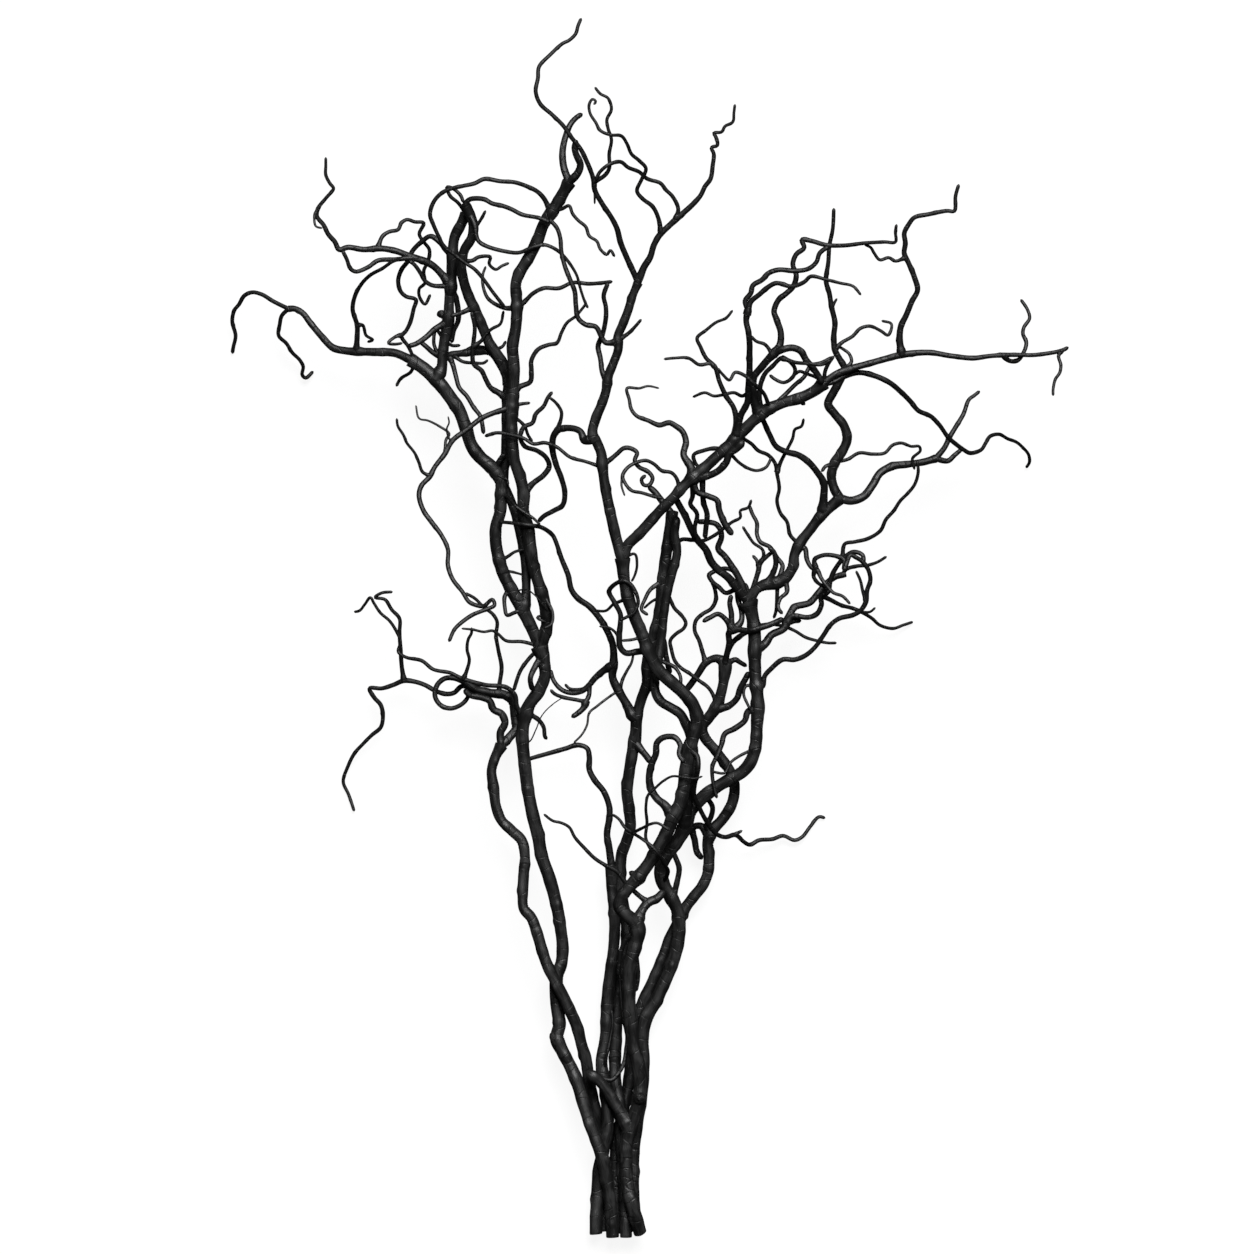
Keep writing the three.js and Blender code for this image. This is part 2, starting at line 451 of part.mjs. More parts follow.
      limb(1.7, 1.4, [[186, 771], [178, 775], [170, 778], [164, 780], [158, 776, 150]]),
      limb(2.6, 2.3, [[162, 756], [169, 750]]),
      limb(2, 1.6, [[186, 770], [187, 780], [190, 787], [195, 794, 158]]),
      limb(2, 1.6, [[97, 708], [88, 711], [78, 709], [69, 705], [71, 697], [78, 691]]),
      limb(1.6, 1.3, [
        [98, 710], [104, 704], [110, 698], [118, 693], [126, 691], [134, 694], [139, 703, 120]
      ]),
      limb(3.5, 0.9, [
        [68, 684], [66, 695], [60, 705], [62, 717, 125], [59, 726], [53, 731], [47, 734], [38, 732],
        [28, 736], [18, 740], [13, 746], [11, 755], [9, 765], [20, 765], [28, 767], [38, 765, 115]
      ]),
      limb(3.2, 3.4, [[70, 684], [80, 686], [90, 690], [98, 698], [101, 706], [108, 711], [114, 718]]),
      limb(2.4, 3.1, [[68, 684], [72, 672], [82, 668], [90, 664], [92, 655], [97, 643], [104, 633, 128]]),
      limb(1.7, 1.7, [
        [56, 672], [54, 683], [49, 689], [40, 691], [33, 697], [26, 700], [17, 698], [9, 693], [5, 686],
        [7, 680], [13, 673], [22, 671], [32, 668], [41, 666]
      ],
        limb(1.2, 0.9, [[5, 686], [4, 678], [7, 668]]),
      ),
      limb(2.6, 2.2, [[78, 692], [77, 675], [78, 662], [81, 652], [80, 640], [79, 630, 110]]),
      limb(2.4, 1.8, [[67, 683], [68, 668], [66, 661], [72, 652], [70, 640], [71, 630, 104]]),
    ),
  ),
  right_stem: limb(5.9, 5.6, [
    [17, 5, 6.6], [15.5, 20, 6.6], [14.2, 38, 6.6], [14.2, 58, 7], [14.5, 78, 9], [17, 100, 12],
    [21, 122, 15], [23.2, 142, 18], [23.5, 160, 20], [22.8, 178, 22], [26.5, 198, 24], [35, 213, 26],
    [42, 228, 28], [49, 245, 30], [54, 262, 32], [56, 280, 34], [54, 296, 36], [48, 308, 38],
    [42, 319, 40], [39, 330, 42], [42, 340, 44], [49, 350, 46], [56, 360, 48], [61, 370, 50],
    [66, 384, 52], [75, 395, 54], [88, 405, 56], [101, 413, 58], [113, 420, 60], [121, 430, 62],
    [125, 444, 63], [126, 462, 64], [127, 482, 65], [125, 502, 66], [124, 522, 67], [124, 542, 68],
    [122, 560, 69], [118, 573, 70]
  ],
    limb(2.7, 2.4, [[50, 304], [54, 320], [56, 333], [53, 342], [50, 349]]),
    limb(1.9, 1.3, [
      [44, 321], [46, 330, 62], [42, 338, 80], [37, 347, 89], [30, 354, 90], [22, 360, 88], [14, 365, 74],
      [7, 370], [2, 377], [-4, 381], [-10, 380, 60]
    ],
      limb(1.6, 1.2, [[14, 365], [22, 369, 84], [30, 373, 90], [36, 374], [42, 371, 92], [47, 367, 92]]),
    ),
    limb(4.2, 4, [
      [61, 370], [63, 386, 60], [65, 402], [67, 420, 72], [69, 438], [66, 452, 80], [62, 463],
      [57, 472, 84], [48, 478], [40, 483, 84], [35, 491], [34, 503, 84], [37, 520], [40, 540, 84],
      [42, 560], [45, 580, 88], [50, 600], [54, 618, 92], [52, 635], [54, 650, 96]
    ]),
    limb(3, 1.5, [
      [125, 476], [118, 474], [115, 466], [106, 459], [97, 454, 64], [94, 444], [90, 434, 66], [86, 425],
      [86, 414, 66], [88, 404], [90, 396, 66]
    ]),
    limb(1.5, 1.3, [[121, 441], [110, 434], [102, 428], [97, 419, 68], [86, 420, 70]]),
    limb(1.5, 1.3, [[125, 497], [116, 497], [114, 490], [117, 482], [120, 476, 70]]),
    limb(2.3, 2.1, [
      [126, 498], [131, 497], [133, 506], [139, 513], [149, 521], [160, 521], [170, 525], [179, 533],
      [186, 543], [192, 552], [200, 558], [212, 561], [219, 565], [224, 573], [225, 583], [228, 593],
      [226, 602], [221, 609], [215, 613], [210, 615], [206, 606], [204, 600]
    ],
      limb(1.6, 1.3, [[224, 573], [221, 583], [219, 592], [215, 601]]),
    ),
    limb(3.5, 2.6, [
      [125, 530], [133, 535], [139, 543], [150, 549], [154, 558], [160, 568], [173, 572], [180, 579],
      [187, 588], [196, 595], [206, 598]
    ],
      limb(2.5, 2, [
        [152, 553], [158, 560], [172, 559], [180, 562], [184, 570], [184, 578], [190, 582], [192, 592],
        [195, 600], [201, 609], [206, 614], [213, 618], [221, 615], [222, 607]
      ],
        limb(1.9, 1.5, [
          [202, 612], [205, 625], [214, 627], [226, 630], [237, 637], [242, 647], [249, 655], [255, 664],
          [262, 671], [268, 679], [271, 690], [270, 700]
        ]),
      ),
      limb(2.4, 2.2, [[152, 556], [160, 556], [166, 556]]),
      limb(1.9, 1.3, [[203, 598], [206, 602], [215, 605], [226, 606], [235, 609], [243, 614]]),
      limb(2.1, 1.4, [
        [182, 580], [192, 575], [202, 570], [213, 567], [222, 563], [230, 558], [237, 552], [249, 549],
        [258, 552], [267, 555, 2.3]
      ],
        limb(1.3, 1.2, [[213, 567], [222, 564], [228, 564], [233, 568]]),
      ),
    ),
    limb(1.7, 1.4, [
      [124, 550], [138, 553, 58], [150, 551, 52], [160, 547], [170, 541], [180, 538], [190, 536],
      [198, 536, 40]
    ]),
    limb(3.9, 3, [
      [118, 573], [113, 579], [107, 587], [100, 595], [91, 602, 84], [85, 609], [80, 620], [73, 628, 96],
      [67, 638], [62, 649], [56, 660, 112], [52, 667, 114]
    ]),
    limb(3.2, 2.3, [
      [116, 576], [110, 594], [104, 604], [97, 614], [91, 621], [94, 631], [93, 638], [89, 643], [80, 645],
      [72, 645, 80]
    ]),
    limb(2.6, 1.8, [
      [116, 580], [115, 588], [106, 584], [98, 581], [92, 586], [86, 591], [83, 597], [89, 601], [98, 603],
      [106, 600], [112, 594]
    ]),
    limb(2.5, 1.8, [[120, 575], [124, 590], [127, 600], [129, 608], [135, 614], [140, 618, 74]],
      limb(1.7, 1.4, [[129, 608], [132, 614], [131, 620], [123, 626], [118, 633], [113, 641]]),
      limb(1.7, 1.4, [[128, 604], [126, 610], [122, 615]]),
    ),
    limb(5.1, 4.6, [
      [119, 572], [124, 583], [132, 588], [143, 590], [152, 595], [158, 604], [160, 616], [165, 626],
      [174, 638], [184, 651], [194, 660], [201, 666, 86]
    ],
      limb(2.6, 2.1, [[134, 589], [141, 600], [143, 608], [141, 618], [136, 622]]),
      limb(2.2, 1.7, [
        [145, 590], [148, 600], [149, 606], [143, 614], [138, 622], [129, 627], [126, 634], [126, 644],
        [122, 652], [119, 660]
      ]),
      limb(2.3, 1.7, [[151, 594], [153, 582], [147, 576], [145, 568], [149, 562]]),
      limb(1.9, 1.5, [[144, 590], [144, 575], [143, 564], [141, 558]]),
      limb(2.4, 1.4, [
        [163, 622], [169, 621], [171, 611], [175, 604], [180, 602], [184, 594], [190, 586], [195, 581],
        [203, 578], [210, 571]
      ],
        limb(2.1, 2, [[179, 602], [178, 611], [186, 615], [198, 614], [204, 611], [204, 601]]),
        limb(1.8, 1.5, [[179, 602], [177, 596], [181, 590], [188, 585], [185, 578]]),
      ),
      limb(1.8, 1.8, [
        [164, 625], [156, 633], [153, 645], [147, 653], [144, 664], [146, 675], [144, 688], [142, 698],
        [136, 705], [127, 709], [121, 715], [115, 719], [110, 723, 114]
      ],
        limb(1.8, 1.3, [
          [144, 690], [147, 698], [153, 710], [158, 720], [160, 728], [166, 731], [168, 738]
        ]),
      ),
      limb(3.6, 2.3, [
        [184, 652], [186, 667], [186, 680], [180, 690], [172, 699], [163, 705], [152, 708], [143, 713],
        [137, 724], [132, 735], [129, 742, 128]
      ]),
      limb(3.9, 3.2, [
        [201, 666], [211, 664], [222, 668], [230, 678], [237, 689], [248, 695], [262, 697], [276, 699],
        [287, 702, 60]
      ],
        limb(2.8, 1.6, [
          [287, 702], [295, 712], [300, 722], [306, 732], [312, 742], [317, 755], [322, 759],
          [327, 763, 45]
        ]),
        limb(2.7, 1.9, [[287, 702], [298, 700], [304, 705], [311, 711]]),
      ),
      limb(4.4, 3.6, [
        [201, 666], [196, 674], [193, 686], [196, 698], [203, 709], [207, 720], [204, 732], [196, 742],
        [190, 751], [195, 762], [201, 773], [207, 785, 104]
      ],
        limb(3, 1.6, [
          [206, 783], [200, 792], [196, 800], [195, 812], [196, 824], [193, 838], [191, 850], [188, 862],
          [190, 878], [191, 893], [194, 908], [195, 927, 130]
        ],
          limb(1.4, 1.1, [[194, 838], [198, 846]]),
          limb(1.9, 1.3, [
            [197, 800], [202, 806], [212, 812], [219, 819], [228, 821], [237, 817], [244, 813], [247, 823],
            [238, 826]
          ]),
        ),
        limb(1.8, 1.3, [[207, 783], [211, 789], [209, 796], [204, 800], [199, 803]]),
        limb(1.8, 1.6, [[195, 697], [188, 695], [184, 690]]),
        limb(1.7, 1.4, [
          [197, 699], [207, 701], [218, 707], [230, 706], [241, 707], [248, 714], [256, 716], [265, 713],
          [272, 713], [273, 709], [266, 702], [268, 692]
        ]),
      ),
    ),
  ),
  right_back_stem: limb(5.4, 4.6, [
    [0.5, 3, 6], [-1, 25, 6], [-1, 50, 6], [-1.3, 80, 6], [0.8, 96, 6], [5.2, 112, 6], [10.5, 140, 6],
    [14, 170, 7], [17.5, 195, 8], [23.5, 213, 9], [33, 232.5, 11], [42, 254.5, 13], [48, 271, 15],
    [55, 284, 17], [61, 296, 19], [69, 307, 21], [77, 317, 22], [82, 329, 23], [83, 343, 24],
    [82, 356, 25], [86, 367, 26], [95, 377, 28], [103, 390, 30], [106, 404, 32], [104, 416, 33],
    [97, 428, 35], [88, 440, 37], [79, 451, 39], [77, 460, 41], [82, 468, 43], [89, 478, 45],
    [94, 492, 47], [97, 508, 49], [98, 524, 51]
  ],
    limb(4.8, 4.4, [[59, 292], [63, 287]]),
    limb(3.1, 2.9, [[82, 362], [75, 371], [68, 369], [70, 358], [72, 348], [77, 341]]),
    limb(2.6, 2.2, [[84, 364], [81, 371], [85, 380], [86, 388], [81, 397, 42]]),
    limb(3.2, 3.1, [[97.5, 518], [89, 522], [80, 518], [73, 508], [66, 498], [62, 493]],
      limb(2, 1.8, [
        [80, 518], [77, 528], [74, 538], [70, 547], [71, 556], [77, 562], [85, 567], [89, 575], [88, 585],
        [85, 592, 52]
      ]),
    ),
    limb(3, 2.7, [[88, 477], [100, 479], [108, 486], [111, 495], [116, 504], [119, 510]]),
    limb(2.8, 2.5, [
      [97, 509], [98, 522], [101, 536], [101, 545], [107, 548, 70], [118, 547], [124, 548, 78],
      [139, 553, 74], [150, 558]
    ],
      limb(2.8, 2.2, [[103, 547], [103, 562], [101.5, 572], [103, 579.5, 72]]),
      limb(2.6, 2.3, [[105, 548], [112, 556], [112, 565], [109, 575], [108, 584]]),
      limb(2.6, 2, [[104, 548], [98, 557], [91, 562], [84, 559], [77, 555]]),
    ),
    limb(2.6, 2.3, [[97, 513], [99, 525], [104, 536], [112, 543], [119, 547, 55]]),
    limb(2.4, 2, [[98, 517], [107, 521], [110, 519], [117, 515]]),
    limb(1.7, 1.7, [
      [88, 478], [87, 488], [82, 496], [74, 502], [66, 508], [57, 514], [52, 520], [49, 530], [48, 538],
      [53, 544], [60, 549], [62, 554], [58, 561], [52, 567], [48, 575], [46, 581, 66]
    ]),
  ),
  centre_stem: limb(5.5, 4.8, [
    [8, 0, 18.5], [8, 20, 18.5], [7, 42, 18.5], [5, 62, 18.5], [4, 85, 18.5], [3.5, 105, 18],
    [1.2, 125, 15.3], [-1.5, 140, 14], [-2, 155, 13], [-1.3, 172, 13], [-0.5, 190, 13], [0.5, 206, 13.5],
    [2.5, 222, 14], [5, 240, 15], [8, 260, 16], [8, 285, 16], [5, 305, 16], [3, 325, 18], [4, 345, 20],
    [8, 356, 24], [12, 370, 30], [11, 386, 36], [9, 402, 40], [11, 420, 44], [14, 438, 48], [17, 455, 52],
    [18, 470, 56], [22, 485, 60], [27, 500, 63], [27, 515, 66], [30, 530, 68], [34, 545, 70],
    [38, 562, 72], [40, 580, 74], [42, 600, 76], [45, 620, 78], [47, 638, 80], [50, 655, 82]
  ],
    limb(4, 1.5, [
      [18, 468], [14, 471], [8, 482], [2, 492], [-4, 505, 62], [-3, 520], [-4, 535], [-10, 549, 72],
      [-17, 560], [-25, 569], [-35, 576], [-41, 584], [-44, 597, 80], [-50, 612], [-55, 627],
      [-58, 633, 86], [-68, 640, 94], [-80, 642, 100], [-95, 644, 94], [-107, 645, 87]
    ],
      limb(3.1, 1.8, [
        [-4, 516], [-12, 511], [-20, 504], [-26, 497], [-33, 492], [-42, 491], [-50, 494], [-57, 502],
        [-60, 512, 50]
      ]),
      limb(2.2, 1.4, [[-4, 513], [-15, 509], [-23, 501], [-30, 495], [-38, 494], [-43, 495], [-47, 499]],
        limb(2, 1.6, [[-25, 498], [-25, 490], [-28, 484], [-38, 485], [-48, 487], [-56, 490], [-60, 494]],
          limb(2.5, 2.4, [[-28, 484], [-30, 478], [-35, 473], [-41, 469]]),
        ),
      ),
      limb(1.2, 1, [[1, 493], [-9, 486], [-18, 479], [-25, 473], [-27, 462], [-32, 453], [-39, 446]]),
      limb(1.7, 1.1, [[3, 492], [5, 503], [9, 511], [13, 518], [15, 527]]),
    ),
    limb(3.1, 3, [[18, 446], [25, 436], [31, 428, 60]]),
    limb(2.1, 1.6, [[42, 594], [38, 590], [30, 584], [25, 575], [22, 566], [28, 561]]),
    limb(1.5, 1.1, [[41, 583], [47, 582], [40, 578], [31, 573], [24, 567]]),
    limb(2, 1.6, [[29, 522], [36, 521], [44, 518], [52, 514], [57, 506], [57, 498], [54, 492]]),
    limb(2.5, 2.5, [[35, 548], [42, 538], [44, 525], [48, 508]]),
    limb(1.9, 1.4, [
      [45, 622], [52, 624], [58, 629], [66, 629], [77, 628], [88, 633], [97, 640], [104, 645], [111, 649],
      [111, 655], [118, 658], [121, 665]
    ]),
    limb(3, 3, [[49, 652], [44, 659], [38, 667], [33, 673], [28, 677]]),
  ),
};

const planDistance = (a, b) => Math.hypot(a[0] - b[0], a[1] - b[1]);

// The height at every point of a path that starts at startHeight; side shoots lean up and down in turn.
function pathHeights(path, startHeight, lean) {
  const runs = [0];
  for (let i = 1; i < path.length; i += 1) {
    runs.push(runs[i - 1] + planDistance(path[i - 1], path[i]));
  }
  const pins = [{ run: 0, height: path[0][2] ?? startHeight }];
  path.forEach((point, i) => {
    if (i > 0 && point.length > 2) {
      pins.push({ run: runs[i], height: point[2] });
    }
  });
  const last = pins[pins.length - 1];
  const total = runs[runs.length - 1];
  if (last.run < total) {
    const tip = last.height + lean * (total - last.run);
    pins.push({ run: total, height: Math.max(tip, LOWEST_TIP) });
  }
  return runs.map((run) => {
    const next = Math.max(1, pins.findIndex((pin) => pin.run >= run));
    const [low, high] = [pins[next - 1], pins[next]];
    return low.height + ((high.height - low.height) * (run - low.run)) / (high.run - low.run);
  });
}

// A smooth centreline through the points, sampled finely enough for clearances.
function traceCurve(points) {
  const curve = new THREE.CatmullRomCurve3(points, false, 'centripetal');
  const spans = points.length - 1;
  const traced = [];
  for (let i = 0; i < spans; i += 1) {
    const steps = Math.max(2, Math.ceil(points[i].distanceTo(points[i + 1]) / SAMPLE_STEP));
    for (let j = 0; j < steps; j += 1) {
      traced.push(curve.getPoint((i + j / steps) / spans));
    }
  }
  traced.push(points[spans].clone());
  return traced;
}

// A limb's centreline. A side shoot starts on the centreline of the limb that bears it.
function centreline(shape, parentLine, lean) {
  let root = null;
  if (parentLine) {
    const from = shape.path[0];
    root = parentLine.reduce((best, point) => (
      planDistance([point.x, point.y], from) < planDistance([best.x, best.y], from) ? point : best
    ));
  }
  const heights = pathHeights(shape.path, root ? root.z : shape.path[0][2], lean);
  const points = shape.path.map(([x, y], i) => new THREE.Vector3(x, y, heights[i]));
  if (root) {
    points[0].copy(root);
  }
  return traceCurve(points);
}

// Keeps only the samples that the bends need: the furthest stray from each chord stays under the error.
function keepBends(line, error, first = 0, last = line.length - 1) {
  const chord = new THREE.Line3(line[first], line[last]);
  const nearest = new THREE.Vector3();
  let worst = error;
  let split = -1;
  for (let i = first + 1; i < last; i += 1) {
    const stray = chord.closestPointToPoint(line[i], true, nearest).distanceTo(line[i]);
    if (stray > worst) {
      worst = stray;
      split = i;
    }
  }
  if (split < 0) {
    return first === 0 ? [0, last] : [last];
  }
  return [...keepBends(line, error, first, split), ...keepBends(line, error, split, last)];
}

// A closed tube around the centreline, tapering from thick to thin, with flat ends. Its few-sided section has
// the area of the round one.
function tube(line, thick, thin) {
  const sides = thick > THICK_LIMB ? 6 : thick > THIN_TWIG ? 4 : 3;
  const rimShare = Math.sqrt((2 * Math.PI) / sides / Math.sin((2 * Math.PI) / sides));
  const kept = keepBends(line, thick > THICK_LIMB ? CHORD_ERROR[0] : CHORD_ERROR[1]);
  const centres = kept.map((i) => line[i]);
  const reach = [0];
  for (let i = 1; i < centres.length; i += 1) {
    reach.push(reach[i - 1] + centres[i].distanceTo(centres[i - 1]));
  }
  const total = reach[reach.length - 1];
  const along = (i) => centres[i + 1].clone().sub(centres[i]).normalize();
  const positions = [];
  const faces = [];
  let across = new THREE.Vector3(0, 0, 1).cross(along(0)).normalize();
  let before = along(0);
  centres.forEach((centre, i) => {
    const after = i < centres.length - 1 ? along(i) : before;
    const facing = before.clone().add(after).normalize();
    across = across.sub(facing.clone().multiplyScalar(across.dot(facing))).normalize();
    const up = facing.clone().cross(across);
    const radius = rimShare * (thick + ((thin - thick) * reach[i]) / total);
    for (let k = 0; k < sides; k += 1) {
      const turn = (2 * Math.PI * (k + 0.5)) / sides;
      const rim = centre.clone().addScaledVector(across, radius * Math.cos(turn));
      rim.addScaledVector(up, radius * Math.sin(turn));
      positions.push(rim.x, rim.y, rim.z);
    }
    before = after;
  });
  const ring = (i, k) => i * sides + (k % sides);
  for (let i = 0; i < centres.length - 1; i += 1) {
    for (let k = 0; k < sides; k += 1) {
      faces.push(ring(i, k), ring(i, k + 1), ring(i + 1, k + 1));
      faces.push(ring(i, k), ring(i + 1, k + 1), ring(i + 1, k));
    }
  }
  const end = centres.length - 1;
  for (let k = 1; k < sides - 1; k += 1) {
    faces.push(ring(0, 0), ring(0, k + 1), ring(0, k));
    faces.push(ring(end, 0), ring(end, k), ring(end, k + 1));
  }
  return new wasm.Manifold(new wasm.Mesh({
    numProp: 3,
    vertProperties: new Float32Array(positions),
    triVerts: new Uint32Array(faces),
  }));
}

// A limb joined with everything that grows from it.
function grow(shape, parentLine = null, lean = TWIG_LEAN) {
  const line = centreline(shape, parentLine, lean);
  let solid = tube(line, shape.thick, shape.thin);
  shape.side.forEach((shoot, i) => {
    solid = solid.add(grow(shoot, line, i % 2 ? -TWIG_LEAN : TWIG_LEAN));
  });
  return solid;
}

function stemMesh(name, shape) {
  const mesh = grow(shape).getMesh();
  const geometry = new THREE.BufferGeometry();
  geometry.setAttribute('position', new THREE.BufferAttribute(new Float32Array(mesh.vertProperties), 3));
  geometry.setIndex(new THREE.BufferAttribute(new Uint32Array(mesh.triVerts), 1));
  const merged = BufferGeometryUtils.mergeVertices(geometry, 1e-4);
  merged.computeVertexNormals();
  const bark = new THREE.MeshStandardMaterial({ color: BARK_COLOUR, roughness: 0.5, metalness: 0 });
  const stem = new THREE.Mesh(merged, bark);
  stem.name = name;
  return stem;
}

const bunch = new THREE.Group();
bunch.name = 'willow_stems';
bunch.position.set(...BUTT_TO_ORIGIN);
Object.entries(stems).forEach(([name, shape]) => bunch.add(stemMesh(name, shape)));

export default bunch;
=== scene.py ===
import math

import bpy
import numpy as np
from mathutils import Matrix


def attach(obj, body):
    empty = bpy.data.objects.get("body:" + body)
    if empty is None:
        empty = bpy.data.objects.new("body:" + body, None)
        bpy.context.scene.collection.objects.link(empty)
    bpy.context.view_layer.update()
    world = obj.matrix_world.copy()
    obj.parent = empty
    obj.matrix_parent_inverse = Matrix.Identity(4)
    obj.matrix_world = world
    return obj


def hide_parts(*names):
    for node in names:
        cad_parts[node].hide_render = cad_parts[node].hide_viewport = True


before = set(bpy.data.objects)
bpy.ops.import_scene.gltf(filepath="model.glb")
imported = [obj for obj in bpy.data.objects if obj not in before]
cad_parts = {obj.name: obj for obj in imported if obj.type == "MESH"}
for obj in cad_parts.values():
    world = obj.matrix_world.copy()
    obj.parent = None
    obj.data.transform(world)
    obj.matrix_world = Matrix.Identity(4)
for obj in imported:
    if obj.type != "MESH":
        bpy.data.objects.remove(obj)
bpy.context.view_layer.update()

# ---- driving values, in millimetres unless they say metres -----------------------------------

MM = 0.001
SHELF_SHIFT = np.array([-29.1, -548.3, 0.0])  # from the gathered cut ends to the middle of the bunch
SAMPLE_STEP = 1.5  # how closely a centreline is traced
TWIG_LEAN = 0.22  # rise or fall of a free twig along its run
LOWEST_TIP = 4.0  # a free twig never droops below this height
STEM_BODY = "root"


def limb(thick, thin, path, *side):
    """A limb: radius at its start and its tip, the points its centreline passes, and its side shoots."""
    return {"thick": thick, "thin": thin, "path": path, "side": side}


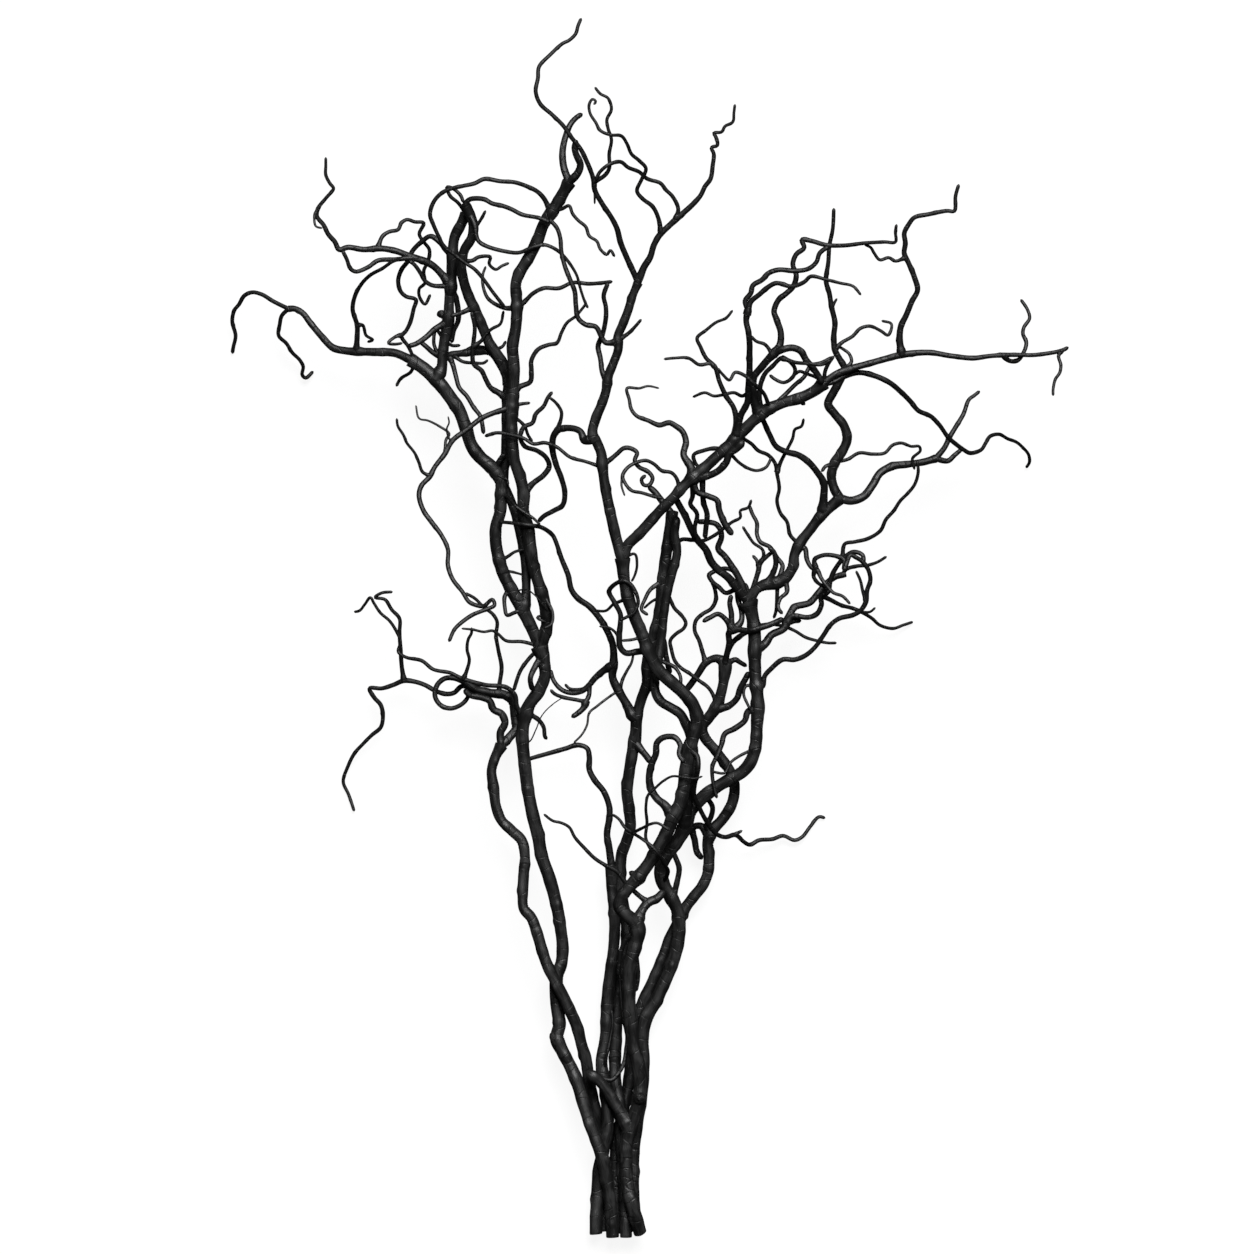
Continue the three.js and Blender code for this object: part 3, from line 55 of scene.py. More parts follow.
# A point is [x, y] or [x, y, height]. Heights run evenly between the points that state one.
STEMS = {
  "left_stem": limb(5.8, 5.4, [
    [-4, 0, 20], [-5, 20, 23], [-7, 40, 27], [-10, 58, 31], [-14, 75, 34], [-20, 92, 35], [-26, 108, 35],
    [-31, 124, 34.5], [-36, 140, 34], [-42, 154, 33], [-49, 168, 33], [-54, 180, 33], [-52, 192, 33],
    [-54, 208, 33], [-55, 222, 33], [-54, 236, 33], [-50, 248, 33], [-49, 262, 34], [-51, 280, 36],
    [-55, 302, 38], [-61, 324, 41], [-68, 345, 43], [-71, 362, 45], [-76, 382, 47], [-80, 402, 48],
    [-83, 425, 50], [-85, 447, 52], [-84, 464, 54], [-79, 480, 57], [-70, 493, 60], [-65, 506, 62],
    [-66, 520, 63], [-70, 533, 64]
  ],
    limb(5.3, 4.8, [[-53, 179], [-60, 184]]),
    limb(2.2, 1.9, [[-81, 474], [-77, 471], [-70, 466], [-66, 460], [-65, 452], [-63, 449]]),
    limb(2.3, 1.2, [
      [-84, 468], [-90, 478], [-92, 489, 60], [-100, 496], [-118, 498], [-130, 501, 70], [-142, 505],
      [-150, 509], [-165, 512, 64], [-176, 520], [-190, 523], [-197, 528, 50], [-195, 537], [-199, 547],
      [-205, 556], [-213, 563], [-219, 572], [-222, 577, 60], [-227, 571], [-232, 565], [-237, 564, 46]
    ],
      limb(1.7, 1.4, [
        [-138, 503], [-135, 512], [-133, 521], [-135, 530], [-134, 539], [-131, 545], [-131, 550]
      ]),
    ),
    limb(2.7, 2.4, [[-67, 524], [-74, 514], [-78, 504, 72], [-76, 493, 66]]),
    limb(1.9, 1.7, [[-71, 531], [-80, 521], [-87, 511], [-91, 500], [-93, 493, 58]]),
    limb(1.9, 1, [
      [-70, 533], [-85, 537], [-100, 538], [-107, 544], [-112, 547], [-120, 546], [-130, 548],
      [-140, 549, 84]
    ]),
    limb(5.4, 5.2, [
      [-70, 533], [-74, 543], [-80, 556], [-86, 568], [-94, 582], [-101, 596], [-106, 611], [-109, 626],
      [-109, 640, 77], [-105, 654], [-104.5, 668, 79], [-105, 682], [-110, 691, 80]
    ],
      limb(1.7, 1.3, [[-106, 609], [-98, 614], [-92, 618], [-84, 620]]),
      limb(1.4, 1, [[-104, 601], [-95, 600], [-87, 598], [-82, 596]]),
      limb(1.9, 1.8, [[-97, 586], [-101, 578], [-101, 568], [-99, 561], [-93, 563], [-88, 565]]),
      limb(1.5, 1.3, [
        [-104, 670], [-98, 667], [-91, 659, 100], [-84, 654, 101], [-75, 648, 102], [-69, 642, 102]
      ]),
      limb(1.3, 1.1, [[-111, 686], [-105, 686], [-99, 683], [-98, 678]]),
      limb(4.1, 3.9, [
        [-84, 566], [-82, 580], [-82, 598, 70], [-83, 612], [-86, 628], [-89, 642], [-92, 654, 72],
        [-96, 665], [-101, 677], [-101.5, 690], [-100.5, 704, 76], [-100, 720], [-100, 738, 80],
        [-99.5, 755], [-98.5, 768], [-99, 778, 86]
      ],
        limb(5, 4, [
          [-99, 776], [-103, 788], [-109, 797, 90], [-115, 806], [-120, 818, 94], [-126, 832],
          [-133, 847, 100], [-138, 862], [-140, 878, 108], [-137, 890], [-131, 900, 114], [-129, 910],
          [-132, 921], [-137, 931, 122]
        ],
          limb(2.3, 1.8, [
            [-137, 931], [-132, 935], [-120, 935], [-112, 931], [-103, 929], [-95, 926], [-85, 921],
            [-70, 918], [-60, 914]
          ]),
          limb(2.2, 1.3, [
            [-133, 922], [-128, 912, 124], [-125, 898], [-118, 893], [-100, 888, 126], [-88, 887],
            [-75, 892, 131], [-66, 894], [-57, 891, 130], [-49, 885], [-41, 875], [-36, 866], [-33, 855],
            [-29, 843], [-26, 837, 120]
          ]),
          limb(1.6, 1.4, [[-129, 907], [-123, 916], [-118, 925]]),
          limb(1.9, 1.4, [
            [-139, 879], [-130, 880], [-125, 883], [-117, 884], [-114, 883], [-115, 877], [-109, 872],
            [-104, 875], [-97, 878]
          ]),
          limb(2.2, 1.8, [[-129, 838], [-140, 833], [-150, 830]]),
        ),
        limb(4, 2.2, [
          [-106, 794], [-114, 798], [-125, 798], [-136, 797], [-146, 796], [-158, 794], [-165, 797],
          [-172, 803], [-178, 808]
        ],
          limb(2.2, 1.9, [
            [-152, 795], [-148, 787], [-145, 776], [-142, 766], [-135, 758], [-129, 748], [-123, 740],
            [-121, 731], [-120, 724]
          ]),
          limb(2.1, 1.5, [[-136, 797], [-130, 802], [-120, 802], [-108, 801], [-103, 803], [-100, 808]]),
          limb(1.8, 1.3, [[-148, 796], [-142, 791], [-138, 789], [-128, 788], [-120, 788], [-116, 791]]),
          limb(1.8, 1.5, [[-160, 795], [-165, 806], [-163, 818], [-157, 811], [-149, 804], [-141, 804]]),
        ),
        limb(2.7, 1.7, [
          [-103, 757], [-108, 762], [-114, 766], [-118, 773], [-122, 781], [-129, 787], [-130, 797],
          [-129, 808], [-128, 820], [-131, 834]
        ],
          limb(1.9, 1.3, [[-130, 803], [-122, 808], [-118, 814], [-112, 819], [-105, 823], [-102, 835]]),
        ),
      ),
      limb(2.6, 2.4, [[-111, 690], [-107, 698], [-101, 707, 86]]),
      limb(6.2, 5.6, [
        [-110, 691], [-115, 696], [-124, 704], [-131, 714], [-136, 729], [-142, 745], [-150, 757],
        [-161, 771, 83], [-174, 783], [-186, 791, 80]
      ],
        limb(4.1, 2.5, [
          [-186, 791], [-200, 797], [-222, 798], [-244, 799], [-256, 802], [-266, 812], [-276, 824],
          [-283, 833], [-290, 837], [-296, 837, 44]
        ],
          limb(2, 1.8, [
            [-296, 837], [-310, 844], [-320, 850], [-329, 852], [-336, 849], [-341, 841], [-345, 836],
            [-347, 826], [-344, 813], [-346, 803], [-347, 797, 2.9]
          ]),
          limb(1.9, 1.6, [
            [-296, 837], [-302, 831], [-304, 823], [-305, 813], [-298, 806], [-293, 798], [-286, 791],
            [-283, 785], [-284, 778], [-281, 775], [-274, 781, 3]
          ]),
          limb(2.4, 1.5, [
            [-235, 799], [-234, 812], [-234, 822], [-238, 836], [-236, 848], [-230, 859], [-222, 867],
            [-211, 873], [-202, 879], [-192, 882, 110]
          ],
            limb(1.6, 1.3, [[-234, 822], [-229, 822], [-226, 813], [-220, 809], [-225, 807, 60]]),
          ),
        ),
        limb(4.4, 4.8, [
          [-163, 773], [-158, 783], [-157, 795], [-155, 810, 86], [-152, 826], [-151, 845, 90],
          [-149, 865], [-148, 885, 96], [-146, 901], [-140, 913], [-136, 922, 102]
        ],
          limb(3.4, 1.4, [
            [-150, 858], [-157, 867], [-165, 875], [-174, 880], [-186, 884, 98], [-200, 889], [-214, 891],
            [-228, 890], [-242, 892], [-250, 890, 96], [-254, 897], [-260, 904], [-264, 912], [-270, 920],
            [-269, 927], [-262, 936], [-255, 945], [-258, 949], [-262, 957], [-262, 965], [-262, 973, 110]
          ],
            limb(2.3, 1.8, [
              [-172, 879], [-186, 882], [-200, 881], [-215, 880], [-224, 874], [-235, 870], [-240, 873],
              [-243, 881], [-247, 889]
            ]),
            limb(1.9, 1.5, [
              [-215, 891], [-211, 902], [-205, 906], [-197, 908], [-194, 914], [-189, 917], [-182, 915],
              [-174, 914], [-178, 904], [-174, 897], [-169, 890], [-170, 880], [-174, 871], [-173, 860],
              [-178, 855], [-178, 848], [-173, 841], [-168, 850]
            ]),
            limb(1.3, 1, [[-269, 924], [-272, 921], [-271, 911], [-265, 909]]),
          ),
          limb(2.4, 1.6, [
            [-148, 885], [-153, 889], [-160, 897], [-168, 902], [-176, 897], [-184, 889], [-188, 880],
            [-194, 872], [-197, 862], [-195, 853], [-190, 848], [-181, 845], [-183, 837], [-186, 825],
            [-190, 817], [-194, 812], [-188, 803], [-184, 794], [-183, 787], [-186, 780], [-195, 774],
            [-199, 767]
          ],
            limb(1.6, 1.3, [[-193, 813], [-199, 812], [-206, 806], [-200, 805], [-193, 806]]),
          ),
          limb(2.1, 1.8, [
            [-150, 858], [-160, 857], [-167, 858], [-173, 862], [-177, 869], [-182, 876], [-187, 880]
          ]),
          limb(3.7, 4, [[-151, 829], [-158, 832], [-162, 831]]),
          limb(2.8, 2.2, [[-152, 824], [-163, 819], [-172, 811], [-181, 805], [-188, 803]]),
          limb(2.6, 2.2, [[-150, 857], [-145, 846], [-143, 836], [-143, 826], [-147, 817], [-149, 806]]),
          limb(1.7, 1.7, [
            [-136, 922], [-143, 932], [-150, 938], [-153, 946], [-148, 945], [-141, 939], [-138, 932]
          ]),
        ),
      ),
    ),
    limb(5.5, 5.1, [
      [-69, 530], [-66, 541], [-63, 553, 72], [-65, 570], [-70, 588, 82], [-75, 605, 84], [-78, 622, 88],
      [-80, 640, 90], [-84, 655, 92], [-84, 670, 94], [-87, 685, 96], [-92, 700], [-94, 715, 100],
      [-95, 735], [-94, 755, 104], [-93, 772], [-93, 787, 108], [-94, 802], [-91, 820, 112], [-90, 840],
      [-91, 858, 116], [-88, 868], [-79, 883, 120], [-71, 899], [-66, 912, 126], [-57, 926], [-48, 941],
      [-43, 950, 134]
    ],
      limb(3.6, 2.8, [[-43, 950], [-35, 959], [-33, 966], [-37, 976], [-38, 982], [-36, 988]]),
      limb(3.5, 2.3, [
        [-43, 950], [-48, 964], [-49, 978], [-46, 992], [-42, 1002], [-37, 1008], [-31, 1012]
      ]),
      limb(2.2, 1.6, [
        [-58, 922], [-66, 936], [-72, 942], [-80, 946], [-92, 950, 140], [-105, 951], [-119, 953],
        [-128, 949], [-137, 947, 142], [-150, 944], [-158, 940], [-165, 932], [-168, 921, 136],
        [-165, 912], [-160, 901], [-155, 892], [-147, 886, 128], [-137, 878], [-128, 872],
        [-120, 863, 124], [-112, 852], [-105, 843], [-101, 838, 118]
      ]),
      limb(1.7, 1.4, [
        [-57, 924], [-50, 926], [-43, 929, 134], [-40, 922], [-35, 916], [-28, 910], [-25, 902],
        [-18, 897], [-15, 890], [-9, 885], [-6, 889], [-2, 883, 140]
      ]),
      limb(2.1, 1.7, [
        [-90, 838], [-84, 842], [-76, 850], [-66, 855, 119], [-52, 855], [-40, 860, 117], [-25, 859, 119],
        [-12, 860], [-4, 861, 124]
      ]),
      limb(2.3, 1.1, [
        [-90, 838], [-98, 837], [-108, 840], [-116, 846], [-120, 855], [-121, 866], [-118, 875]
      ]),
      limb(2.5, 1.3, [
        [-94, 758], [-88, 766], [-78, 771], [-77, 781, 108], [-77, 790], [-71, 800], [-62, 804],
        [-54, 806, 112], [-50, 815], [-45, 824], [-37, 830], [-31, 837], [-28, 841, 116]
      ]),
      limb(2.6, 1.8, [
        [-84, 670], [-75, 680], [-66, 687], [-61, 695, 98], [-64, 703], [-72, 709], [-83, 713, 106],
        [-87, 721, 108], [-84, 730], [-76, 734], [-73, 742], [-66, 749], [-62, 757], [-58, 762, 112]
      ]),
      limb(1.7, 1.3, [[-68, 582], [-62, 572], [-58, 563], [-59, 553], [-66, 549]]),
      limb(1.6, 1.4, [[-95, 741], [-88, 736], [-83, 731], [-80, 723], [-76, 717]]),
      limb(1.3, 1.2, [[-80, 559], [-72, 559], [-65, 555]]),
      limb(1.7, 1.4, [[-94, 749], [-86, 751], [-78, 752]]),
      limb(2.5, 1.8, [
        [-94, 748], [-108, 744], [-122, 738], [-135, 728], [-148, 718], [-155, 706], [-164, 694],
        [-168, 686], [-176, 677], [-178, 668], [-174, 655], [-167, 645], [-158, 633], [-152, 620],
        [-152, 606], [-148, 594], [-139, 582], [-133, 573], [-127, 570], [-120, 569], [-112, 575],
        [-110, 570], [-118, 566], [-130, 561], [-140, 554], [-146, 548], [-151, 537]
      ],
        limb(1.5, 1.3, [
          [-168, 686], [-175, 690], [-178, 698], [-182, 707], [-189, 716], [-192, 723], [-197, 731],
          [-198, 738]
        ]),
        limb(1.5, 0.8, [
          [-155, 707], [-154, 718], [-151, 724], [-160, 731], [-170, 736], [-178, 738], [-181, 750]
        ]),
      ),
    ),
  ),
  "outer_left_stem": limb(5.5, 4.6, [
    [-12, 5, 6.1], [-12.5, 30, 6.1], [-12.5, 55, 7], [-13, 80, 7], [-15, 98, 9.5], [-19, 113, 14.3],
    [-23, 130, 19.6], [-26, 147, 27], [-28, 160, 32], [-32, 174, 36], [-36, 190, 40], [-42, 204, 44],
    [-48, 217, 47], [-55, 230, 49], [-62, 244, 50], [-67, 258, 50], [-72, 275, 50], [-77, 288, 50],
    [-84, 297, 50], [-85, 310, 50], [-84, 328, 50], [-83, 345, 50], [-86, 358, 50], [-95, 367, 50],
    [-104, 376, 50], [-109, 389, 50], [-111, 405, 50], [-113, 421, 50], [-110, 432, 50], [-104, 444, 50]
  ],
    limb(4, 4.2, [
      [-104, 444], [-97, 451], [-91, 459, 44], [-92, 470, 43], [-94, 483, 44], [-101, 489],
      [-115, 491, 48], [-127, 494], [-136, 500, 52]
    ],
      limb(2.5, 2, [
        [-136, 500], [-146, 504], [-155, 504, 56], [-162, 498], [-164, 488], [-159, 480], [-150, 477, 57],
        [-141, 480], [-135, 486], [-134, 492, 46]
      ]),
      limb(2.4, 1.5, [
        [-130, 496], [-140, 497, 46], [-147, 491], [-155, 490], [-164, 493], [-173, 498, 40], [-182, 501],
        [-192, 502, 36], [-202, 498], [-212, 495], [-223, 495, 27], [-219, 487], [-213, 480],
        [-211, 470, 21], [-213, 460], [-221, 453], [-229, 445], [-237, 436], [-243, 424], [-247, 411, 3],
        [-242, 399, 2.6], [-237, 384, 4]
      ],
        limb(2.1, 1.4, [
          [-192, 502], [-194, 515], [-195, 530], [-196, 545], [-196, 558], [-203, 566], [-209, 575],
          [-218, 577], [-212, 581], [-202, 582]
        ]),
      ),
      limb(2, 1.5, [
        [-106, 489], [-106, 498], [-104, 514], [-107, 530], [-109, 543], [-108, 555], [-112, 562],
        [-120, 568], [-128, 576], [-137, 581]
      ]),
    ),
    limb(3.9, 2.7, [
      [-104, 444], [-105, 455], [-101, 464], [-104, 472], [-111, 476], [-115, 484], [-122, 487],
      [-132, 489], [-138, 494, 57]
    ]),
  ),
  "centre_left_stem": limb(6, 5, [
    [-19, 3, 16], [-18, 30, 17], [-16, 58, 18.5], [-12.2, 80, 20.5], [-8.8, 96, 23], [-7.8, 112, 24.2],
    [-10, 130, 23.2], [-13, 146, 21.5], [-14, 160, 22], [-11, 176, 22], [-9.6, 192, 23], [-9.2, 208, 23],
    [-7.6, 225, 24], [-5.4, 243, 25], [-3, 262, 26], [-2, 282, 27], [-3, 300, 27], [-5, 318, 28],
    [-5, 335, 30]
  ],
    limb(3.4, 1.9, [
      [-5, 335], [-7, 350], [-9, 364], [-7, 378], [-7, 388], [-12, 402], [-20, 412], [-25, 422],
      [-25, 433], [-27, 441, 44], [-36, 444], [-46, 441], [-60, 437], [-74, 433], [-82, 430.5, 39]
    ]),
    limb(1.4, 1, [[-10, 148], [-9, 165, 31], [-6, 180, 31], [-4, 195], [-5, 205, 31]]),
  ),
  "front_stem": limb(6.2, 5.5, [
    [21, 4, 22], [17, 18, 29], [12, 33, 31.5], [9, 50, 31], [8, 65, 32], [8, 80, 33], [11, 96, 35],
    [16, 110, 38], [20, 125, 41], [21, 140, 43], [19, 156, 46], [15, 172, 48], [13, 190, 51],
    [11, 210, 54], [11, 230, 57], [12, 248, 60], [16, 262, 62], [19, 274, 64], [17, 284, 66], [9, 291, 69],
    [2, 299, 71], [4, 307, 72], [10, 315, 73], [18, 324, 74], [28, 337, 76], [36, 350, 78], [44, 364, 80],
    [50, 378, 82], [57, 392, 84], [60, 406, 86], [62, 424, 88], [65, 440, 90], [69, 453, 92],
    [72, 466, 94], [69, 479, 97], [61, 490, 100], [50, 500, 103], [38, 511, 106], [30, 525, 109],
    [23, 543, 112], [15, 562, 114], [9, 580, 116], [6, 597, 118], [5, 612, 120]
  ],
    limb(6.4, 5.8, [[20, 125], [20.5, 127, 53]]),
    limb(5.1, 4.8, [[11, 97], [5, 110], [-3, 123], [-10, 134], [-18, 143], [-27, 149, 44]],
      limb(2.1, 1.4, [
        [-20, 145], [-12, 143], [-5, 142], [1, 148], [6, 157], [8, 168, 36], [9, 182, 34], [6, 196],
        [4, 210], [3, 225], [2, 240], [0, 250, 34]
      ]),
    ),
    limb(2.4, 1.7, [[17, 277], [9, 270], [4, 260], [2, 248], [1, 236, 50]]),
    limb(2.2, 1.8, [[16, 262], [18, 248], [19, 236], [17, 222, 50]]),
    limb(4.2, 3.5, [[18, 283], [23, 296], [28, 302, 62], [36, 306], [43, 313, 60]],
      limb(2.2, 1.2, [
        [28, 302], [18, 310, 61], [8, 320], [0, 330], [-9, 335], [-20, 342], [-30, 352], [-38, 361],
        [-43, 370], [-50, 374], [-58, 376], [-66, 382]
      ]),
    ),
    limb(3.1, 2.8, [[18, 326], [11, 330]]),
    limb(3.9, 2.3, [
      [50, 380], [43, 390], [36, 396], [31, 404, 74], [29, 414], [31, 426], [35, 436], [36, 446],
      [42, 451], [52, 451], [57, 444], [56, 436], [61, 428]
    ]),
    limb(1.7, 0.9, [
      [33, 346], [26, 360, 77], [27, 374, 78], [26, 388, 84], [28, 399], [34, 405], [42, 412],
      [50, 416, 92], [60, 415, 96], [70, 414, 96], [77, 416]
    ]),
    limb(2.5, 1.6, [
      [60, 444], [66, 440, 92], [72, 434], [73, 424, 94], [70, 410], [69, 400], [73, 390, 66], [78, 380],
      [84, 370], [91, 363, 44], [98, 361], [106, 363], [110, 361], [114, 357], [120, 354, 20], [128, 358],
      [140, 359], [150, 362, 8], [160, 358], [167, 361], [174, 370], [182, 379], [188, 378, 2.6]
    ],
      limb(1.5, 1.3, [[106, 363], [113, 367]]),
    ),
    limb(1.4, 1.1, [[11, 624], [16, 616], [18, 606], [16, 597], [13, 591]]),
    limb(3, 1.4, [
      [27, 530], [18, 528, 100], [8, 527], [3, 532], [2, 541], [3, 553], [3, 562], [-2, 572],
      [-7, 582, 112], [-3, 588], [6, 592, 124], [12, 589], [17, 581], [19, 572], [15, 563, 122], [8, 559],
      [2, 556, 120]
    ],
      limb(1.3, 1.1, [[2, 541], [-3, 547], [-8, 550], [-16, 551]]),
    ),
    limb(1.7, 1.2, [[9, 578], [4, 574], [-3, 571], [-10, 565], [-20, 565, 100]]),
    limb(1.5, 1.3, [[24, 542], [14, 539], [4, 538]]),
    limb(5.3, 3.6, [
      [5, 612], [0, 628], [-4, 645], [-8, 663], [-11, 680], [-13, 695], [-14, 706], [-18, 716], [-22, 724],
      [-19, 738], [-14, 750], [-10, 762], [-8, 775, 140], [-3, 788], [1, 800], [1, 812], [5, 822],
      [10, 835], [14, 848], [19, 860, 147]
    ],
      limb(2.7, 1.6, [
        [19, 862], [13, 873], [8, 884], [3, 896, 158], [0, 908], [-5, 918], [-13, 930], [-20, 943, 174],
        [-21, 952], [-27, 968], [-33, 980], [-41, 990, 187], [-48, 1000], [-58, 1010], [-69, 1020],
        [-73, 1031, 195], [-71, 1043], [-70, 1053], [-60, 1064], [-49, 1074], [-43, 1077], [-37, 1083],
        [-35, 1090], [-32, 1097, 188]
      ],
        limb(1.9, 1.4, [
          [-21, 950], [-12, 955], [-7, 962], [-7, 975], [-5, 988], [-8, 998], [-9, 1006], [-5, 1015],
          [-8, 1025], [-15, 1029], [-20, 1035, 190]
        ]),
        limb(1.1, 0.9, [[-20, 943], [-20, 930]]),
      ),
      limb(3.3, 1.3, [
        [19, 862], [24, 873], [30, 883], [33, 893, 153], [38, 902], [47, 911], [58, 921], [68, 930],
        [75, 938], [79, 946], [84, 953], [86, 965], [87, 975], [85, 981], [90, 983], [89, 990], [87, 994],
        [94, 995], [97, 1000], [104, 1004], [105, 1012], [106, 1020, 170]
      ],
        limb(2, 1.7, [
          [52, 917], [55, 926], [50, 937], [44, 943], [39, 949], [27, 953, 167], [20, 959], [10, 963],
          [3, 968], [-8, 965, 187], [-16, 958], [-19, 951, 185]
        ]),
        limb(2.1, 1.3, [
          [39, 904], [37, 918], [32, 928], [23, 935], [18, 942], [22, 952, 172], [26, 962], [20, 969],
          [13, 975], [9, 984], [4, 991], [-6, 992, 200], [-15, 996], [-19, 1003], [-24, 1011], [-25, 1019],
          [-22, 1024], [-19, 1022], [-21, 1019, 200]
        ]),
      ),
      limb(1.7, 1.7, [
        [-14, 694], [-28, 699], [-42, 703], [-54, 712, 120], [-65, 716], [-75, 715], [-84, 720],
        [-95, 723, 112], [-108, 725], [-119, 722, 108]
      ]),
      limb(2.5, 1.9, [
        [0, 807], [-10, 806], [-14, 811], [-19, 820], [-28, 822], [-35, 828], [-37, 840], [-38, 852],
        [-42, 862, 148], [-47, 875], [-50, 888], [-51, 900], [-54, 909], [-61, 917, 144]
      ]),
      limb(2.4, 2.1, [
        [-8, 772], [-13, 779], [-15, 792], [-17, 803, 135], [-13, 813], [-10, 828, 144], [-10, 838],
        [-12, 848], [-8, 860, 150]
      ]),
      limb(3.4, 2, [
        [-22, 720], [-29, 718], [-33, 726], [-40, 729], [-52, 728], [-57, 722], [-58, 710, 110],
        [-55, 697], [-50, 684], [-47, 671, 100], [-49, 660], [-57, 655], [-66, 650], [-71, 645, 88]
      ],
        limb(1.9, 1.4, [[-55, 725], [-51, 735], [-50, 744], [-55, 752], [-61, 757, 126]]),
      ),
      limb(2, 1.4, [[2, 808], [10, 814], [16, 820], [22, 827]]),
      limb(2.2, 1.8, [
        [-12, 697], [-6, 701], [0, 706], [6, 711], [12, 711], [18, 707], [16, 700], [20, 694], [28, 690],
        [32, 684], [29, 678], [24, 678], [22, 683], [26, 687, 138]
      ]),
    ),
    limb(4.8, 4.8, [
      [5, 612], [10, 624], [20, 634], [30, 645], [40, 656], [50, 666, 130], [62, 679], [75, 690],
      [88, 702], [100, 713, 138], [112, 725], [124, 737], [136, 746], [150, 752], [164, 756, 148],
      [178, 763], [186, 770, 151]
    ],
      limb(3.4, 1.7, [
        [186, 770], [196, 777], [208, 782], [226, 787], [244, 792], [256, 795, 150], [280, 797],
        [300, 794], [320, 792, 144], [336, 794], [356, 795], [376, 795], [400, 799], [406, 802, 128]
      ],
        limb(2.9, 1.7, [
          [256, 795], [254, 808], [255, 820], [260, 831], [265, 843], [270, 853, 160], [267, 865],
          [262, 877], [258, 886], [259, 895], [258, 904], [262, 912], [267, 918, 172], [280, 921],
          [296, 924], [303, 924], [304, 937], [307, 948, 176]
        ],
          limb(1.6, 1.4, [
            [258, 882], [250, 879], [244, 882], [236, 880], [231, 886], [228, 891], [222, 894]
          ]),
        ),
        limb(2.1, 1.5, [
          [348, 794], [352, 790], [360, 790, 131], [366, 798, 130], [368, 806], [365, 814], [366, 820],
          [371, 828], [369, 836], [363, 845]
        ]),
        limb(1.6, 1.4, [
          [400, 799], [397, 794], [399, 786], [398, 779], [394, 773], [392, 764], [392, 758]
        ]),
      ),
      limb(2.8, 1.4, [
        [184, 768], [195, 771], [205, 776], [218, 779], [232, 776], [245, 770, 135], [256, 761],
        [264, 753], [271, 745], [282, 740], [290, 732], [298, 721, 95], [305, 715], [312, 710], [318, 707],
        [328, 710], [332, 716], [336, 722], [344, 724, 50], [352, 720], [360, 717], [366, 712], [371, 706],
        [372, 699, 8], [369, 694, 2.3]
      ]),
      limb(3.6, 2.8, [
        [127, 741], [124, 752], [122, 765], [123, 775], [130, 784], [137, 792], [143, 797],
        [150, 800, 168], [158, 801], [165, 798], [170, 790], [176, 783], [181, 776], [185, 769, 158]
      ],
        limb(3, 1.5, [
          [140, 795], [146, 803], [147, 815], [143, 827], [141, 834], [145, 844], [152, 850], [158, 856],
          [161, 866], [158, 876], [161, 885], [168, 891], [166, 898], [175, 897], [185, 894],
          [191, 893, 172], [205, 893], [222, 895], [240, 896], [250, 896], [250, 905], [251, 912]
        ]),
        limb(1.8, 1.3, [
          [122, 765], [113, 758], [105, 761, 139], [95, 759, 138], [87, 758], [79, 761], [68, 757]
        ]),
        limb(1.7, 1.4, [[140, 795], [133, 804], [125, 807], [120, 812]]),
      ),
      limb(2.5, 1.5, [
        [130, 743], [128, 755], [129, 768], [133, 778], [140, 785], [148, 792, 160], [155, 789],
        [160, 782], [158, 775], [150, 770], [142, 773], [137, 777, 150]
      ],
        limb(1.8, 1.5, [[148, 791], [160, 788], [172, 787, 170], [184, 786], [192, 790, 173]]),
      ),
      limb(3.3, 2, [
        [106, 720], [111, 740], [117, 752], [118, 765], [119, 780], [119, 795], [119, 805],
        [118, 815, 180], [116, 825], [117, 835], [115, 843], [120, 850], [122, 857], [130, 862],
        [136, 868], [145, 871], [160, 870], [172, 872], [179, 878], [182, 886], [190, 892, 190]
      ],
        limb(2.6, 1.3, [
          [117, 830], [120, 842], [128, 849], [135, 855], [143, 859], [157, 856], [168, 860], [174, 865],
          [188, 862], [200, 859], [212, 856], [219, 848]
        ]),
      ),
      limb(2.8, 1.3, [
        [104, 718], [107, 735], [105, 747], [98, 758], [92, 771], [88, 784, 150], [80, 792], [75, 802],
        [72, 810], [80, 817], [89, 824], [98, 828], [104, 835, 160]
      ],
        limb(1.7, 1.3, [[88, 784], [84, 787], [74, 786], [64, 792], [52, 792], [42, 791]]),
      ),
      limb(1.9, 1.4, [
        [137, 748], [132, 760], [124, 768, 172], [115, 776], [106, 779], [101, 772], [95, 777], [90, 783]
      ]),
      limb(2.1, 1.9, [[138, 748], [150, 758], [160, 768], [168, 775], [174, 785], [184, 788], [194, 793]]),
      limb(1.7, 1.4, [[186, 771], [178, 775], [170, 778], [164, 780], [158, 776, 150]]),
      limb(2.6, 2.3, [[162, 756], [169, 750]]),
      limb(2, 1.6, [[186, 770], [187, 780], [190, 787], [195, 794, 158]]),
      limb(2, 1.6, [[97, 708], [88, 711], [78, 709], [69, 705], [71, 697], [78, 691]]),
      limb(1.6, 1.3, [
        [98, 710], [104, 704], [110, 698], [118, 693], [126, 691], [134, 694], [139, 703, 120]
      ]),
      limb(3.5, 0.9, [
        [68, 684], [66, 695], [60, 705], [62, 717, 125], [59, 726], [53, 731], [47, 734], [38, 732],
        [28, 736], [18, 740], [13, 746], [11, 755], [9, 765], [20, 765], [28, 767], [38, 765, 115]
      ]),
      limb(3.2, 3.4, [[70, 684], [80, 686], [90, 690], [98, 698], [101, 706], [108, 711], [114, 718]]),
